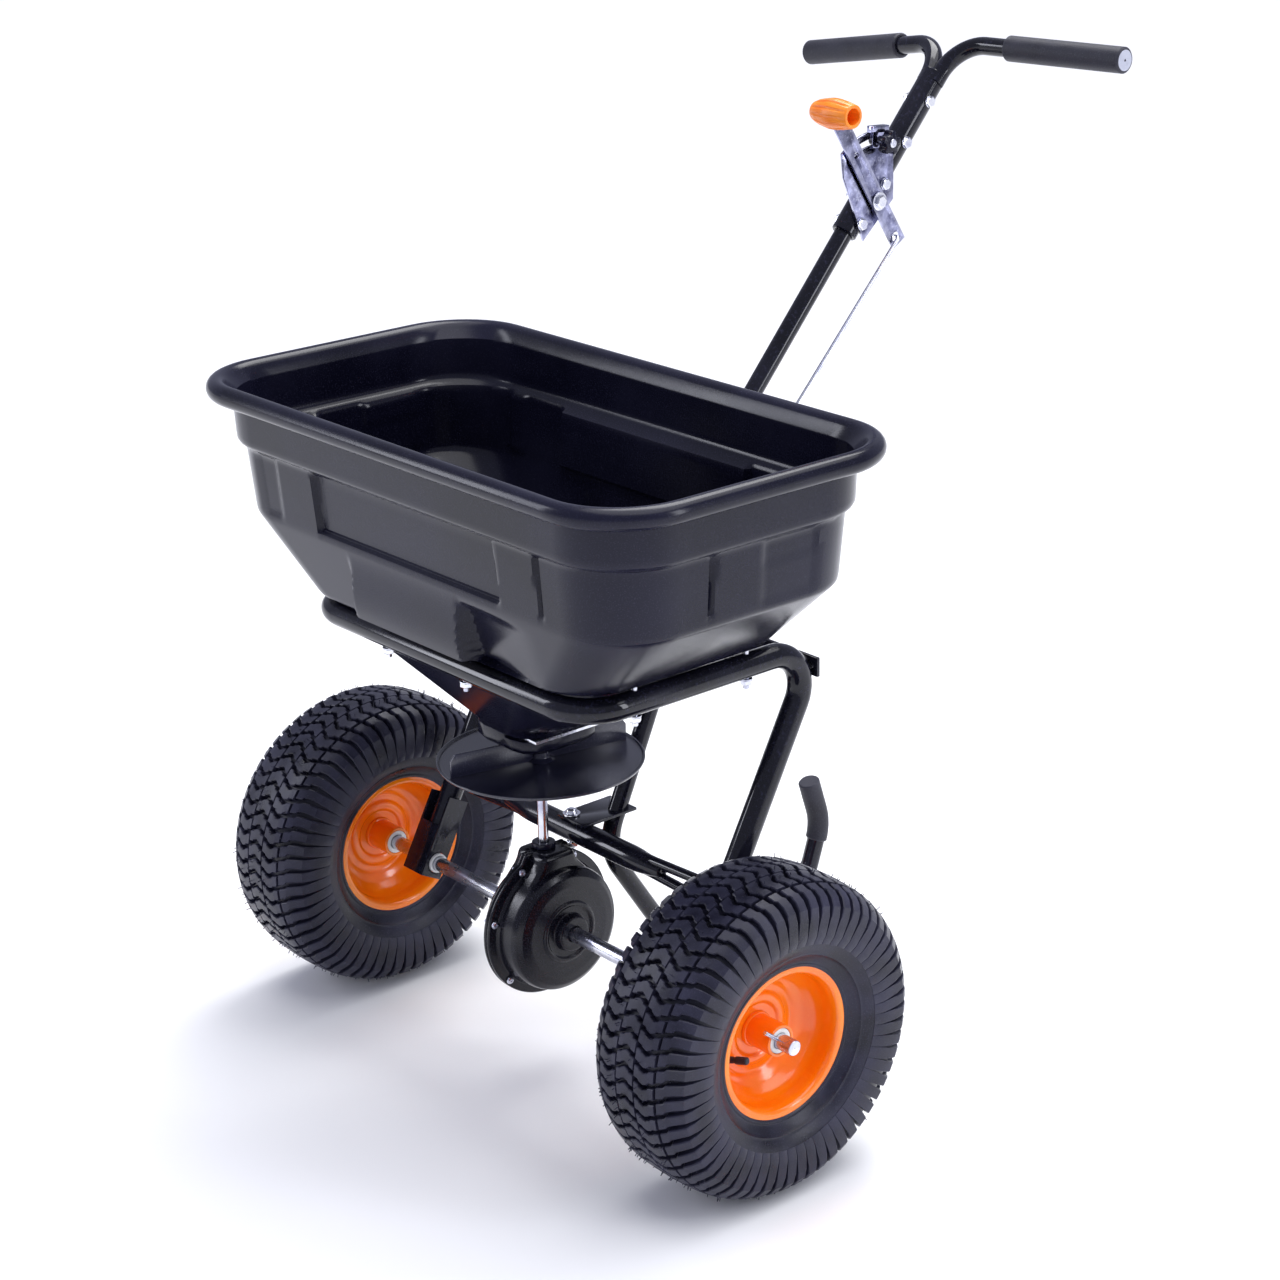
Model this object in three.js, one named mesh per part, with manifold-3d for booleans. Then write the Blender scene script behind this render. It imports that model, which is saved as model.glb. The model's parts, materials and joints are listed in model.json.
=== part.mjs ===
// Push-behind broadcast spreader: an open hopper on a bent tube frame, two pneumatic wheels on one
// axle, a bevel gearbox that spins the impeller, and a handle with the lever that works the gate.
// Millimetres, +Z up. +X is the drive wheel's side and +Y is the operator's side. The exported group
// has its origin on the ground at the middle of the machine's footprint box.

import * as THREE from 'three';
import { mergeVertices } from 'three/addons/utils/BufferGeometryUtils.js';
import Module from 'manifold-3d';

const wasm = await Module();
wasm.setup();

// ---------------------------------------------------------------- driving dimensions
const GAP = 0.3; // air between pieces that touch
const WELD = 1e-3; // vertices closer than this are one vertex

const TRACK_HALF = 315; // wheel centre plane from the machine's middle
const TYRE_R = 165; // 13 x 5.00-6 turf tyre
const TYRE_HALF = 63.5;
const RIM_R = 80; // flange radius
const RIM_HALF = 46.3;
const RIM_SHEET = 3;
const HUB_R = 16.5;
const HUB_BORE_R = 11;
const HUB_HALF = 39;
const AXLE_R = 8;
const AXLE_HALF = 374;
const PIN_R = 2.5;

const LEG_X = 219; // legs at the axle
const LEG_SLOPE = 1.857; // rise over run of the legs
const FRAME_R = 12.7; // hopper frame tube
const FRAME_WALL = 2;
const FRAME_X = 220; // side runs of the hopper loop
const FRAME_FRONT = -124;
const FRAME_Z = 494;
const FRAME_FRONT_BEND = 45;
const FRAME_REAR_BEND = 38;

const POLE_R = 10; // stand and handle tube
const POLE_WALL = 1.8;
const HANDLE_RISE = 1.129; // rise over run of the handle
const FORK = [536, 960]; // y and z of the uppermost clamp bolt
const POLE_BENDS = [[279, 670, 80], [76, 227, 60], [219, POLE_R, 45], [339, POLE_R, 45], [391, 161, 60]];
const STAND_TIP = [374, 214];
const SHELL_R = 14; // half shells that clamp round the pole
const SHELL_TOP = -34; // along the pole, down from the uppermost clamp bolt
const SHELL_BOTTOM = 170;
const POLE_TOP = 20;
const CLAMP_BOLTS = [0, 52, 104, 155];
const PIVOT_DOWN = 125;
const BOLT_R = 3;
const BAR_R = 9.6; // bent upper tubes
const BAR_RISE = 74; // from the uppermost bolt to the corner of the bar's bend
const BAR_BEND = 42;
const BAR_OFFSET = 7.2; // bent tubes' axes at the fork, from the handle's middle plane
const BAR_ROLL = 0.087; // the bar sits about 5 degrees off level
const BAR_DROOP = 0.07;
const BAR_SWEEP = 0.045;
const GRIP_R = 13.6;
const GRIP_START = 79;
const GRIP_END = 231;

const HOPPER_Y = -3;
const RIM_ROLL_R = 11; // rolled edge of the hopper
const HOPPER_WALL = 3.5;
// Outer surface of the hopper from the outlet up: half length, half width, corner radius, height,
// and how far its middle stands from the machine's middle along X.
const HOPPER_LEVELS = [
  [52, 52, 30, 396, -8],
  [54, 54, 32, 402, -8],
  [180, 88, 50, 458, -8],
  [190.5, 94.5, 56, 497],
  [232, 134, 58, 514],
  [315, 158, 74, 591],
  [321, 164, 78, 662],
  [328, 171, 80, 667],
  [329.5, 172.5, 80, 711],
];
const HOPPER_ROLL = [340.5, 183.5, 79, 720];

const SHAFT_X = -8; // impeller shaft and the gearbox's split plane
const SHAFT_R = 5.5;
const SHAFT_BOTTOM = 201;
const SHAFT_TOP = 428;
const IMPELLER_R = 108;
const IMPELLER_Z = 346;
const IMPELLER_SHEET = 3;
const VANE_TOP = 373;

const BOX_FLANGE_R = 80; // gearbox
const BOX_R = 69;
const BOX_WALL = 3;
const BOX_NECK_TOP = 250;
const CROWN_TEETH = 40;
const PINION_TEETH = 8;
const GEAR_MODULE = 2.5;

const GUIDE_Z = 377; // underside of the gate guide
const GATE_Z = 392.3;
const GATE_SHEET = 3;
const GATE_X = 25;
const PORT_Y = -16;
const PORT_HALF = 8;
const GATE_OFFSET = 12; // how far the gate's window stands behind the port at rest
const TAB = [77, 404]; // y and z of the hole that the control rod hooks into

const PLATE_X = 14.5; // rate plate against the right half shell
const PLATE_SHEET = 2.5;
const LEVER_X = 20;
const LEVER_LEAN = 0.562; // lever's lean forward, radians
const LEVER_UP = 118;
const LEVER_DOWN = 50;
const LEVER_WIDTH = 20;
const SLOT_R = 63;
const STOP_ANGLE = 0.05; // clamp knob in the slot, radians behind upright
const ROD_R = 2.5;
const KNOB_LENGTH = 57;

// ---------------------------------------------------------------- finishes
const finish = (color, roughness, metalness) => new THREE.MeshStandardMaterial({ color, roughness, metalness });
const blackPaint = () => finish(0x0b0b0f, 0.18, 0.3);
const blackPlastic = () => finish(0x15151a, 0.45, 0);
const tyreRubber = () => finish(0x1d1e22, 0.75, 0);
const gripRubber = () => finish(0x33343a, 0.7, 0);
const zinc = () => finish(0xb9bcc4, 0.3, 1);
const orangePaint = () => finish(0xf4720c, 0.25, 0.1);
const orangePlastic = () => finish(0xff8a14, 0.4, 0);
const whiteNylon = () => finish(0xe8e8e6, 0.5, 0);

// ---------------------------------------------------------------- solids
/** Signed volume of an indexed triangle list. */
function signedVolume(points, triangles) {
  let sum = 0;
  const corner = [new THREE.Vector3(), new THREE.Vector3(), new THREE.Vector3()];
  for (let i = 0; i < triangles.length; i += 3) {
    corner.forEach((v, k) => v.fromArray(points, 3 * triangles[i + k]));
    sum += corner[0].dot(corner[1].cross(corner[2])) / 6;
  }
  return sum;
}

/** A closed geometry as a solid, welded and with its faces out. */
function solid(geometry) {
  const plain = geometry.clone();
  plain.deleteAttribute('normal');
  plain.deleteAttribute('uv');
  const welded = mergeVertices(plain, WELD);
  const points = Float32Array.from(welded.attributes.position.array);
  const triangles = [];
  for (let i = 0; i < welded.index.count; i += 3) {
    const [a, b, c] = [0, 1, 2].map((k) => welded.index.getX(i + k));
    if (a !== b && b !== c && c !== a) triangles.push(a, b, c);
  }
  if (signedVolume(points, triangles) < 0) triangles.reverse();
  return new wasm.Manifold(new wasm.Mesh({ numProp: 3, vertProperties: points, triVerts: Uint32Array.from(triangles) }));
}

/** A solid back as a geometry. */
function surface(manifold) {
  const mesh = manifold.getMesh();
  const geometry = new THREE.BufferGeometry();
  geometry.setAttribute('position', new THREE.BufferAttribute(Float32Array.from(mesh.vertProperties), 3));
  geometry.setIndex(new THREE.BufferAttribute(Uint32Array.from(mesh.triVerts), 1));
  geometry.computeVertexNormals();
  return geometry;
}

const joined = (...geometries) => surface(geometries.map(solid).reduce((whole, piece) => whole.add(piece)));
const cut = (geometry, ...tools) => surface(tools.map(solid).reduce((rest, tool) => rest.subtract(tool), solid(geometry)));
const common = (a, b) => surface(solid(a).intersect(solid(b)));

// ---------------------------------------------------------------- shapes
/** Circumscribed radius of a polygon whose flats stand at the given radius. */
const acrossFlats = (radius, sides) => radius / Math.cos(Math.PI / sides);

/** Round bar along X between two places. */
function barX(radius, x0, x1, sides = 12, y = 0, z = 0) {
  const geometry = new THREE.CylinderGeometry(radius, radius, x1 - x0, sides);
  return geometry.rotateZ(Math.PI / 2).translate((x0 + x1) / 2, y, z);
}

/** Round bar along Z between two heights. */
function barZ(radius, z0, z1, sides = 12, x = 0, y = 0) {
  const geometry = new THREE.CylinderGeometry(radius, radius, z1 - z0, sides);
  return geometry.rotateX(Math.PI / 2).translate(x, y, (z0 + z1) / 2);
}

/** Box from its low and high corners. */
function block(low, high) {
  const size = high.map((value, i) => value - low[i]);
  const middle = high.map((value, i) => (value + low[i]) / 2);
  return new THREE.BoxGeometry(...size).translate(...middle);
}

/** Closed [radius, distance] profile turned about X, its facets level with the ground at the bottom. */
function turnedX(profile, sides) {
  const points = profile.map(([radius, along]) => new THREE.Vector2(radius, along));
  points.push(points[0].clone());
  const start = Math.PI / sides;
  return new THREE.LatheGeometry(points, sides, start).rotateZ(-Math.PI / 2);
}

/** Tube wall about X from its radii and ends. */
function sleeveX(outer, inner, x0, x1, sides = 12) {
  return turnedX([[inner, x0], [outer, x0], [outer, x1], [inner, x1]], sides);
}

/** Closed [radius, height] profile turned about Z. */
function turnedZ(profile, sides) {
  const points = profile.map(([radius, height]) => new THREE.Vector2(radius, height));
  points.push(points[0].clone());
  return new THREE.LatheGeometry(points, sides).rotateX(Math.PI / 2);
}

/** Flat outline of [y, z] points made into a sheet between two x planes. */
function sheetX(outline, x0, x1) {
  const shape = new THREE.Shape(outline.map(([y, z]) => new THREE.Vector2(y, z)));
  const geometry = new THREE.ExtrudeGeometry(shape, { depth: x1 - x0, bevelEnabled: false });
  return geometry.rotateY(Math.PI / 2).rotateX(Math.PI / 2).translate(x0, 0, 0);
}

/** A path through given points, one extrusion step for each leg of it. */
class PointPath extends THREE.Curve {
  constructor(points) {
    super();
    this.points = points;
  }

  getPointAt(u, target = new THREE.Vector3()) {
    return target.copy(this.points[Math.round(u * (this.points.length - 1))]);
  }

  getTangentAt(u, target = new THREE.Vector3()) {
    const i = Math.round(u * (this.points.length - 1));
    const before = this.points[Math.max(i - 1, 0)];
    const here = this.points[i];
    const after = this.points[Math.min(i + 1, this.points.length - 1)];
    const incoming = here.clone().sub(before).normalize();
    const outgoing = after.clone().sub(here).normalize();
    return target.copy(incoming).add(outgoing).normalize();
  }
}

/** Points of a tube's centre line: straight runs between the corners, with round bends. */
function bentLine(corners, radii, stepsPerBend = 5) {
  const points = [corners[0].clone()];
  for (let i = 1; i < corners.length - 1; i += 1) {
    const back = corners[i - 1].clone().sub(corners[i]).normalize();
    const ahead = corners[i + 1].clone().sub(corners[i]).normalize();
    const half = back.angleTo(ahead) / 2;
    const inward = back.clone().add(ahead).normalize();
    const centre = corners[i].clone().addScaledVector(inward, radii[i - 1] / Math.sin(half));
    const sweep = Math.PI - 2 * half;
    const outward = inward.clone().negate();
    const sideways = ahead.clone().addScaledVector(outward, -ahead.dot(outward)).normalize();
    for (let k = 0; k <= stepsPerBend; k += 1) {
      const angle = sweep * (k / stepsPerBend - 0.5);
      const spoke = outward.clone().multiplyScalar(Math.cos(angle)).addScaledVector(sideways, Math.sin(angle));
      points.push(centre.clone().addScaledVector(spoke, radii[i - 1]));
    }
  }
  points.push(corners[corners.length - 1].clone());
  return points;
}

/** Regular polygon as a shape, a corner on each axis when sides is a multiple of four. */
function polygon(radius, sides, Kind = THREE.Shape) {
  const corner = (_, k) => {
    const angle = (2 * Math.PI * k) / sides;
    return new THREE.Vector2(radius * Math.cos(angle), radius * Math.sin(angle));
  };
  return new Kind(Array.from({ length: sides }, corner));
}

/** Tube, or a solid bar when inner is 0, swept along the points of a centre line. */
function tube(points, outer, inner, sides = 12, boreSides = 8) {
  const section = polygon(outer, sides);
  if (inner > 0) section.holes.push(polygon(inner, boreSides, THREE.Path));
  const steps = points.length - 1;
  return new THREE.ExtrudeGeometry(section, { steps, extrudePath: new PointPath(points) });
}

const at = (x, y, z) => new THREE.Vector3(x, y, z);


// ---------------------------------------------------------------- assembly
const spreader = new THREE.Group();

/** Adds one named piece to the machine. */
function piece(name, geometry, material, position = [0, 0, 0]) {
  const mesh = new THREE.Mesh(surface(solid(geometry)), material);
  mesh.name = name;
  mesh.position.set(...position);
  spreader.add(mesh);
  return mesh;
}

const axleAt = (x) => [x, 0, TYRE_R];

// ---------------------------------------------------------------- wheels
const WHEEL_SIDES = 28;
const RIM_SIDES = 16;

/** Hollow tyre, open at its beads. */
function tyre() {
  const tread = acrossFlats(TYRE_R, WHEEL_SIDES);
  const half = [
    [tread, 36],
    [156, 53],
    [118, TYRE_HALF],
    [84, 46],
    [81.5, 43],
    [75.3, 43],
    [75.3, 36],
    [116, 55],
    [tread - 10, 34],
  ];
  const otherHalf = half.map(([radius, along]) => [radius, -along]).reverse();
  return turnedX([...half, ...otherHalf], WHEEL_SIDES);
}

/** One pressed half of a rim: a flat centre, a bowl, and a flange at the side given. */
function rimHalf(side) {
  const well = RIM_R - 9;
  const profile = [
    [HUB_R + 2 * GAP, GAP / 2],
    [48, GAP / 2],
    [well, 24],
    [well, RIM_HALF - RIM_SHEET],
    [RIM_R, RIM_HALF - RIM_SHEET],
    [RIM_R, RIM_HALF],
    [well - RIM_SHEET, RIM_HALF],
    [well - RIM_SHEET, 25],
    [46, RIM_SHEET + GAP / 2],
    [HUB_R + 2 * GAP, RIM_SHEET + GAP / 2],
  ];
  return turnedX(profile.map(([radius, along]) => [radius, side * along]), RIM_SIDES);
}

/** Inner rim half with the hub tube welded in; the drive hub is notched for the drive pin. */
function rimHalfWithHub(side, notched) {
  const pressing = rimHalf(-side);
  const tubeWall = sleeveX(HUB_R, HUB_BORE_R, -HUB_HALF, HUB_HALF);
  const weld = sleeveX(HUB_R + 2, HUB_R - 1, Math.min(-side * 1, -side * 6), Math.max(-side * 1, -side * 6));
  const whole = joined(pressing, tubeWall, weld);
  if (!notched) return whole;
  const notch = PIN_R + GAP;
  const notchTool = block([HUB_HALF - notch, -notch, -HUB_R - 1], [HUB_HALF + 1, notch, HUB_R + 1]);
  return cut(whole, notchTool.rotateX(PIN_TILT));
}

/** Plain bush through a hub. */
function hubBush() {
  const half = HUB_HALF - PIN_R - 2 * GAP;
  return sleeveX(HUB_BORE_R - GAP, acrossFlats(AXLE_R + GAP, 12), -half, half);
}

const PIN_TILT = 0.9; // turn of the cross pins about the axle
const PIN_HALF = 26;
const drivePinX = TRACK_HALF + HUB_HALF;
const keeperPinX = -(TRACK_HALF + HUB_HALF + PIN_R + GAP);

/** Straight pin across the axle. */
function crossPin(x, radius, half, tilt) {
  return barZ(radius, -half, half, 8).rotateX(tilt).translate(x, 0, TYRE_R);
}

for (const [label, side] of [['right', 1], ['left', -1]]) {
  const place = axleAt(side * TRACK_HALF);
  piece(`${label}_tyre`, tyre(), tyreRubber(), place);
  piece(`${label}_rim_outer_half`, rimHalf(side), orangePaint(), place);
  piece(`${label}_rim_inner_half`, rimHalfWithHub(side, side > 0), orangePaint(), place);
  piece(`${label}_hub_bush`, hubBush(), whiteNylon(), place);
  const stem = barX(4, 0, 24, 8, 0, 0).rotateZ(side > 0 ? 0 : Math.PI);
  piece(`${label}_valve_stem`, stem, gripRubber(), [side * (TRACK_HALF + 20), -52, TYRE_R - 16]);
}
piece('drive_pin', crossPin(drivePinX, PIN_R, PIN_HALF, PIN_TILT), zinc());
piece('wheel_keeper_pin', crossPin(keeperPinX, PIN_R, 18, PIN_TILT), zinc());

// ---------------------------------------------------------------- axle and gears
const CROWN_R = (CROWN_TEETH * GEAR_MODULE) / 2;
const PINION_R = (PINION_TEETH * GEAR_MODULE) / 2;
const PITCH = Math.PI * GEAR_MODULE;
const ADDENDUM = 0.8 * GEAR_MODULE;
const DEDENDUM = 1.12 * GEAR_MODULE;
const TOOTH = 0.34 * PITCH; // narrow teeth, for a loose cast gear pair
const FLANK = Math.tan(Math.PI / 9);
const gearPinX = SHAFT_X + PINION_R + 18;

const axle = cut(
  barX(AXLE_R, -AXLE_HALF, AXLE_HALF, 12).translate(0, 0, TYRE_R),
  crossPin(drivePinX, PIN_R + GAP, 20, PIN_TILT),
  crossPin(keeperPinX, PIN_R + GAP, 20, PIN_TILT),
  crossPin(gearPinX, 2 + GAP, 20, 0),
);
piece('axle', axle, zinc());

/** Crown gear on the axle: a disc with teeth on the face towards the pinion. */
function crownGear() {
  const pitchX = SHAFT_X + PINION_R;
  const root = pitchX + DEDENDUM;
  const bore = acrossFlats(AXLE_R + GAP, 12);
  const disc = turnedX([[bore, root], [CROWN_R + 6, root], [CROWN_R + 6, root + 4], [17, root + 4], [17, root + 20],
    [bore, root + 20]], 20);
  const tip = TOOTH / 2 - ADDENDUM * FLANK;
  const foot = TOOTH / 2 + DEDENDUM * FLANK;
  const profile = [[root + 1, foot], [pitchX - ADDENDUM, tip], [pitchX - ADDENDUM, -tip], [root + 1, -foot]];
  const teeth = Array.from({ length: CROWN_TEETH }, (_, k) => {
    const shape = new THREE.Shape(profile.map(([x, y]) => new THREE.Vector2(x, y)));
    const tooth = new THREE.ExtrudeGeometry(shape, { depth: 11, bevelEnabled: false });
    return tooth.translate(0, 0, CROWN_R - 5.5).rotateX((2 * Math.PI * k) / CROWN_TEETH);
  });
  return joined(disc, ...teeth);
}

/** Pinion on the foot of the impeller shaft, a gap between teeth facing the crown gear. */
function pinion() {
  const step = (2 * Math.PI) / PINION_TEETH;
  const corners = [];
  for (let k = 0; k < PINION_TEETH; k += 1) {
    const middle = (k + 0.5) * step;
    const tipHalf = (TOOTH / 2 - ADDENDUM * FLANK) / (PINION_R + ADDENDUM);
    const footHalf = (TOOTH / 2 + DEDENDUM * FLANK * 0.5) / (PINION_R - DEDENDUM);
    const ring = [[PINION_R - DEDENDUM, -footHalf], [PINION_R + ADDENDUM, -tipHalf],
      [PINION_R + ADDENDUM, tipHalf], [PINION_R - DEDENDUM, footHalf]];
    ring.forEach(([radius, turn]) => {
      corners.push(new THREE.Vector2(radius * Math.cos(middle + turn), radius * Math.sin(middle + turn)));
    });
  }
  const shape = new THREE.Shape(corners);
  shape.holes.push(polygon(acrossFlats(SHAFT_R + GAP, 12), 12, THREE.Path));
  return new THREE.ExtrudeGeometry(shape, { depth: 16, bevelEnabled: false });
}

const crownHole = barZ(2 + GAP, -22, 22, 8).translate(gearPinX, 0, 0);
piece('crown_gear', cut(crownGear(), crownHole), blackPlastic(), axleAt(0));
piece('crown_gear_pin', crossPin(gearPinX, 2, 17, 0), zinc());
piece('pinion', pinion(), zinc(), [SHAFT_X, 0, TYRE_R + CROWN_R - 8]);

// ---------------------------------------------------------------- gearbox
/** Whole gearbox shell before it is split into halves. */
function gearboxShell() {
  const outer = [[0, -36], [20, -36], [20, -27], [60, -27], [BOX_R, -19], [BOX_R, -5], [BOX_FLANGE_R, -5],
    [BOX_FLANGE_R, 5], [BOX_R, 5], [BOX_R, 30], [58, 38], [20, 38], [20, 48], [0, 48]];
  const inside = BOX_R - BOX_WALL;
  const inner = [[0, -24], [57, -24], [inside, -17], [inside, 28], [55, 35], [0, 35]];
  const neck = block([-20, -22, 40], [20, 22, BOX_NECK_TOP - TYRE_R]);
  const neckInside = block([-16, -16, 40], [16, 16, BOX_NECK_TOP - TYRE_R - 4]);
  const axleBore = barX(acrossFlats(AXLE_R + GAP, 12), -60, 60, 12);
  const shaftBore = barZ(acrossFlats(9 + GAP, 12), 70, 100, 12);
  const screwHoles = screwPlaces.map(([y, z]) => barX(2.3, -10, 10, 6, y, z));
  return cut(joined(turnedX(outer, 20), neck), turnedX(inner, 16), neckInside, axleBore, shaftBore, ...screwHoles);
}
const SCREW_RING = 74.5;
const screwPlaces = Array.from({ length: 6 }, (_, k) => {
  const angle = (Math.PI / 3) * (k + 0.5);
  return [SCREW_RING * Math.sin(angle), SCREW_RING * Math.cos(angle)];
});
const boxShell = gearboxShell();
const halfSpace = (side) => block([side > 0 ? GAP / 2 : -100, -120, -120], [side > 0 ? 100 : -GAP / 2, 120, 120]);
for (const [label, side] of [['right', 1], ['left', -1]]) {
  piece(`gearbox_${label}_half`, common(boxShell, halfSpace(side)), blackPlastic(), axleAt(SHAFT_X));
}
const shaftBore = acrossFlats(SHAFT_R + GAP, 12);
const neckBush = [[shaftBore, -4], [9, -4], [9, GAP], [12.5, GAP], [12.5, 6], [shaftBore, 6]];
piece('neck_bush', turnedZ(neckBush, 12), blackPlastic(), [SHAFT_X, 0, BOX_NECK_TOP]);

// ---------------------------------------------------------------- impeller and its shaft
const cotterZ = IMPELLER_Z + 14;
const crossHole = (z, radius) => barX(radius, -30, 30, 8).translate(0, 0, z);
const shaft = cut(barZ(SHAFT_R, SHAFT_BOTTOM, SHAFT_TOP, 12), crossHole(cotterZ, 1.6 + GAP));
piece('impeller_shaft', shaft, zinc(), [SHAFT_X, 0, 0]);
piece('impeller_cotter', barX(1.6, -13, 13, 8).translate(0, 0, cotterZ), zinc(), [SHAFT_X, 0, 0]);

/** Spinner plate with a turned-up edge, a hub and two straight vanes. */
function impeller() {
  const sheet = [[shaftBore, 0], [IMPELLER_R - 4, 0], [IMPELLER_R, 3], [IMPELLER_R, 5], [IMPELLER_R - 2.4, 5],
    [IMPELLER_R - 5, IMPELLER_SHEET], [9, IMPELLER_SHEET], [9, 20], [shaftBore, 20]];
  const height = VANE_TOP - IMPELLER_Z;
  const vane = (turn) => block([8.5, -1.2, 1], [IMPELLER_R - 7, 1.2, height]).rotateZ(turn);
  return cut(joined(turnedZ(sheet, 24), ...VANE_TURNS.map(vane)), crossHole(14, 1.6 + GAP));
}
const VANE_TURNS = [1.39, -1.8];
piece('impeller', impeller(), blackPlastic(), [SHAFT_X, 0, IMPELLER_Z]);

// ---------------------------------------------------------------- hopper and gate
const CORNER_STEPS = 3;

/** Outline of a rectangle with round corners, as points from its front right corner on. */
function roundedOutline(halfLength, halfWidth, radius) {
  const points = [];
  for (const [sx, sy, start] of [[1, -1, -0.5], [1, 1, 0], [-1, 1, 0.5], [-1, -1, 1]]) {
    for (let k = 0; k <= CORNER_STEPS; k += 1) {
      const angle = Math.PI * (start + (0.5 * k) / CORNER_STEPS);
      points.push([sx * (halfLength - radius) + radius * Math.cos(angle),
        sy * (halfWidth - radius) + radius * Math.sin(angle)]);
    }
  }
  return points;
}

/** Closed skin over a stack of [half length, half width, corner radius, height, shift] outlines. */
function lofted(levels) {
  const rings = levels.map(([a, b, r, z, shift = 0]) => roundedOutline(a, b, r).map(([x, y]) => [x + shift, y, z]));
  const count = rings[0].length;
  const positions = rings.flat(2);
  const index = [];
  for (let level = 0; level + 1 < rings.length; level += 1) {
    for (let k = 0; k < count; k += 1) {
      const [a, b] = [level * count + k, level * count + ((k + 1) % count)];
      index.push(a, b, b + count, a, b + count, a + count);
    }
  }
  for (const [level, flip] of [[0, true], [rings.length - 1, false]]) {
    const centre = positions.length / 3;
    positions.push(levels[level][4] ?? 0, 0, levels[level][3]);
    for (let k = 0; k < count; k += 1) {
      const [a, b] = [level * count + k, level * count + ((k + 1) % count)];
      index.push(centre, ...(flip ? [b, a] : [a, b]));
    }
  }
  const geometry = new THREE.BufferGeometry();
  geometry.setAttribute('position', new THREE.Float32BufferAttribute(positions, 3));
  geometry.setIndex(index);
  return geometry;
}

/** Hopper shell: outside, rolled edge and inside as one skin. */
function hopperShell() {
  const [a, b, r, z] = HOPPER_ROLL;
  const roll = [-110, -60, -10, 40, 90, 140].map((degrees) => {
    const out = RIM_ROLL_R * Math.cos((degrees * Math.PI) / 180);
    return [a + out, b + out, r + out, z + RIM_ROLL_R * Math.sin((degrees * Math.PI) / 180)];
  });
  const inside = HOPPER_LEVELS.map(([la, lb, lr, lz, shift]) => [la - HOPPER_WALL, lb - HOPPER_WALL, lr - HOPPER_WALL,
    lz + HOPPER_WALL, shift]);
  return lofted([...HOPPER_LEVELS, ...roll, ...inside.reverse()]);
}

const frontBoltX = [-92, 38];
const sideBoltY = [-62, 80];
const hopperBolts = [
  ...frontBoltX.map((x) => [x, FRAME_FRONT]),
  ...sideBoltY.flatMap((y) => [[FRAME_X, y], [-FRAME_X, y]]),
];
const hopperBoltHoles = hopperBolts.map(([x, y]) => barZ(BOLT_R + 2 * GAP, 440, 530, 6, x, y));
const floorZ = HOPPER_LEVELS[0][3];
const port = (y, z0, z1) => block([GATE_X - 11, y - PORT_HALF, z0], [GATE_X + 11, y + PORT_HALF, z1]);
const shaftHole = barZ(SHAFT_R + 2, 370, 406, 12, SHAFT_X, 0);
const hopper = cut(hopperShell().translate(0, HOPPER_Y, 0), port(PORT_Y, 380, 410), shaftHole, ...hopperBoltHoles);
piece('hopper', hopper, blackPlastic());

/** Block under the outlet that carries the gate and the shaft's upper bush. */
function gateGuide() {
  const [a, b, r] = HOPPER_LEVELS[0];
  const body = lofted([[a - 5, b - 5, r - 5, GUIDE_Z, SHAFT_X], [a, b, r, GUIDE_Z + 5, SHAFT_X],
    [a, b, r, floorZ - GAP, SHAFT_X]]);
  const channel = block([GATE_X - 20 - GAP, -80, GATE_Z - GAP], [GATE_X + 20 + GAP, 80, floorZ + 1]);
  const bushHole = barZ(shaftBore, GUIDE_Z - 1, floorZ + 1, 12, SHAFT_X, 0);
  return cut(body.translate(0, HOPPER_Y, 0), channel, port(PORT_Y, 370, 400), bushHole);
}
piece('gate_guide', gateGuide(), blackPlastic());

/** Sliding gate: a windowed plate with an upright tab for the control rod. */
function gate() {
  const [tabY, tabZ] = TAB;
  const plate = block([GATE_X - 20, -46, GATE_Z], [GATE_X + 20, tabY + 8, GATE_Z + GATE_SHEET]);
  const tab = block([GATE_X - 6, tabY - 7, GATE_Z], [GATE_X - 3, tabY + 8, tabZ + 5]);
  const hookHole = barX(ROD_R + GAP, 0, 50, 8, tabY, tabZ);
  return cut(joined(plate, tab), port(PORT_Y + GATE_OFFSET, 380, 400), hookHole);
}
piece('gate', gate(), zinc());

// ---------------------------------------------------------------- hopper frame
const legY = (z) => (z - TYRE_R) / LEG_SLOPE;
const LEG_FOOT = 192;
const legCorner = legY(FRAME_Z);
const frameLine = bentLine([
  at(-LEG_X, legY(LEG_FOOT), LEG_FOOT),
  at(-FRAME_X, legCorner, FRAME_Z),
  at(-FRAME_X, FRAME_FRONT, FRAME_Z),
  at(FRAME_X, FRAME_FRONT, FRAME_Z),
  at(FRAME_X, legCorner, FRAME_Z),
  at(LEG_X, legY(LEG_FOOT), LEG_FOOT),
], [FRAME_REAR_BEND, FRAME_FRONT_BEND, FRAME_FRONT_BEND, FRAME_REAR_BEND], 4);
const STRAP = [165.2, 168.7, 462, 482]; // rear strap: front, back, bottom, top
const STRAP_HALF = FRAME_X + 11;
const strapBoltZ = 470;
const barY = (radius, y0, y1, sides, x, z) => barZ(radius, -y1, -y0, sides).rotateX(Math.PI / 2).translate(x, 0, z);
const strapHoles = [-FRAME_X, FRAME_X].map((x) => barY(BOLT_R + GAP, 130, 180, 8, x, strapBoltZ));
const frameTube = tube(frameLine, FRAME_R, FRAME_R - FRAME_WALL, 12, 6);
piece('hopper_frame', cut(frameTube, ...hopperBoltHoles, ...strapHoles), blackPaint());

// Each bolt is one solid with the nut that is run up on it.
const hopperBolt = joined(barZ(7, 518, 522, 8), barZ(BOLT_R, 470, 519, 6),
  barZ(6.5, 474, FRAME_Z - FRAME_R - GAP, 6));
hopperBolts.forEach(([x, y], k) => piece(`hopper_bolt_${k + 1}`, hopperBolt.clone(), zinc(), [x, y, 0]));

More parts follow.
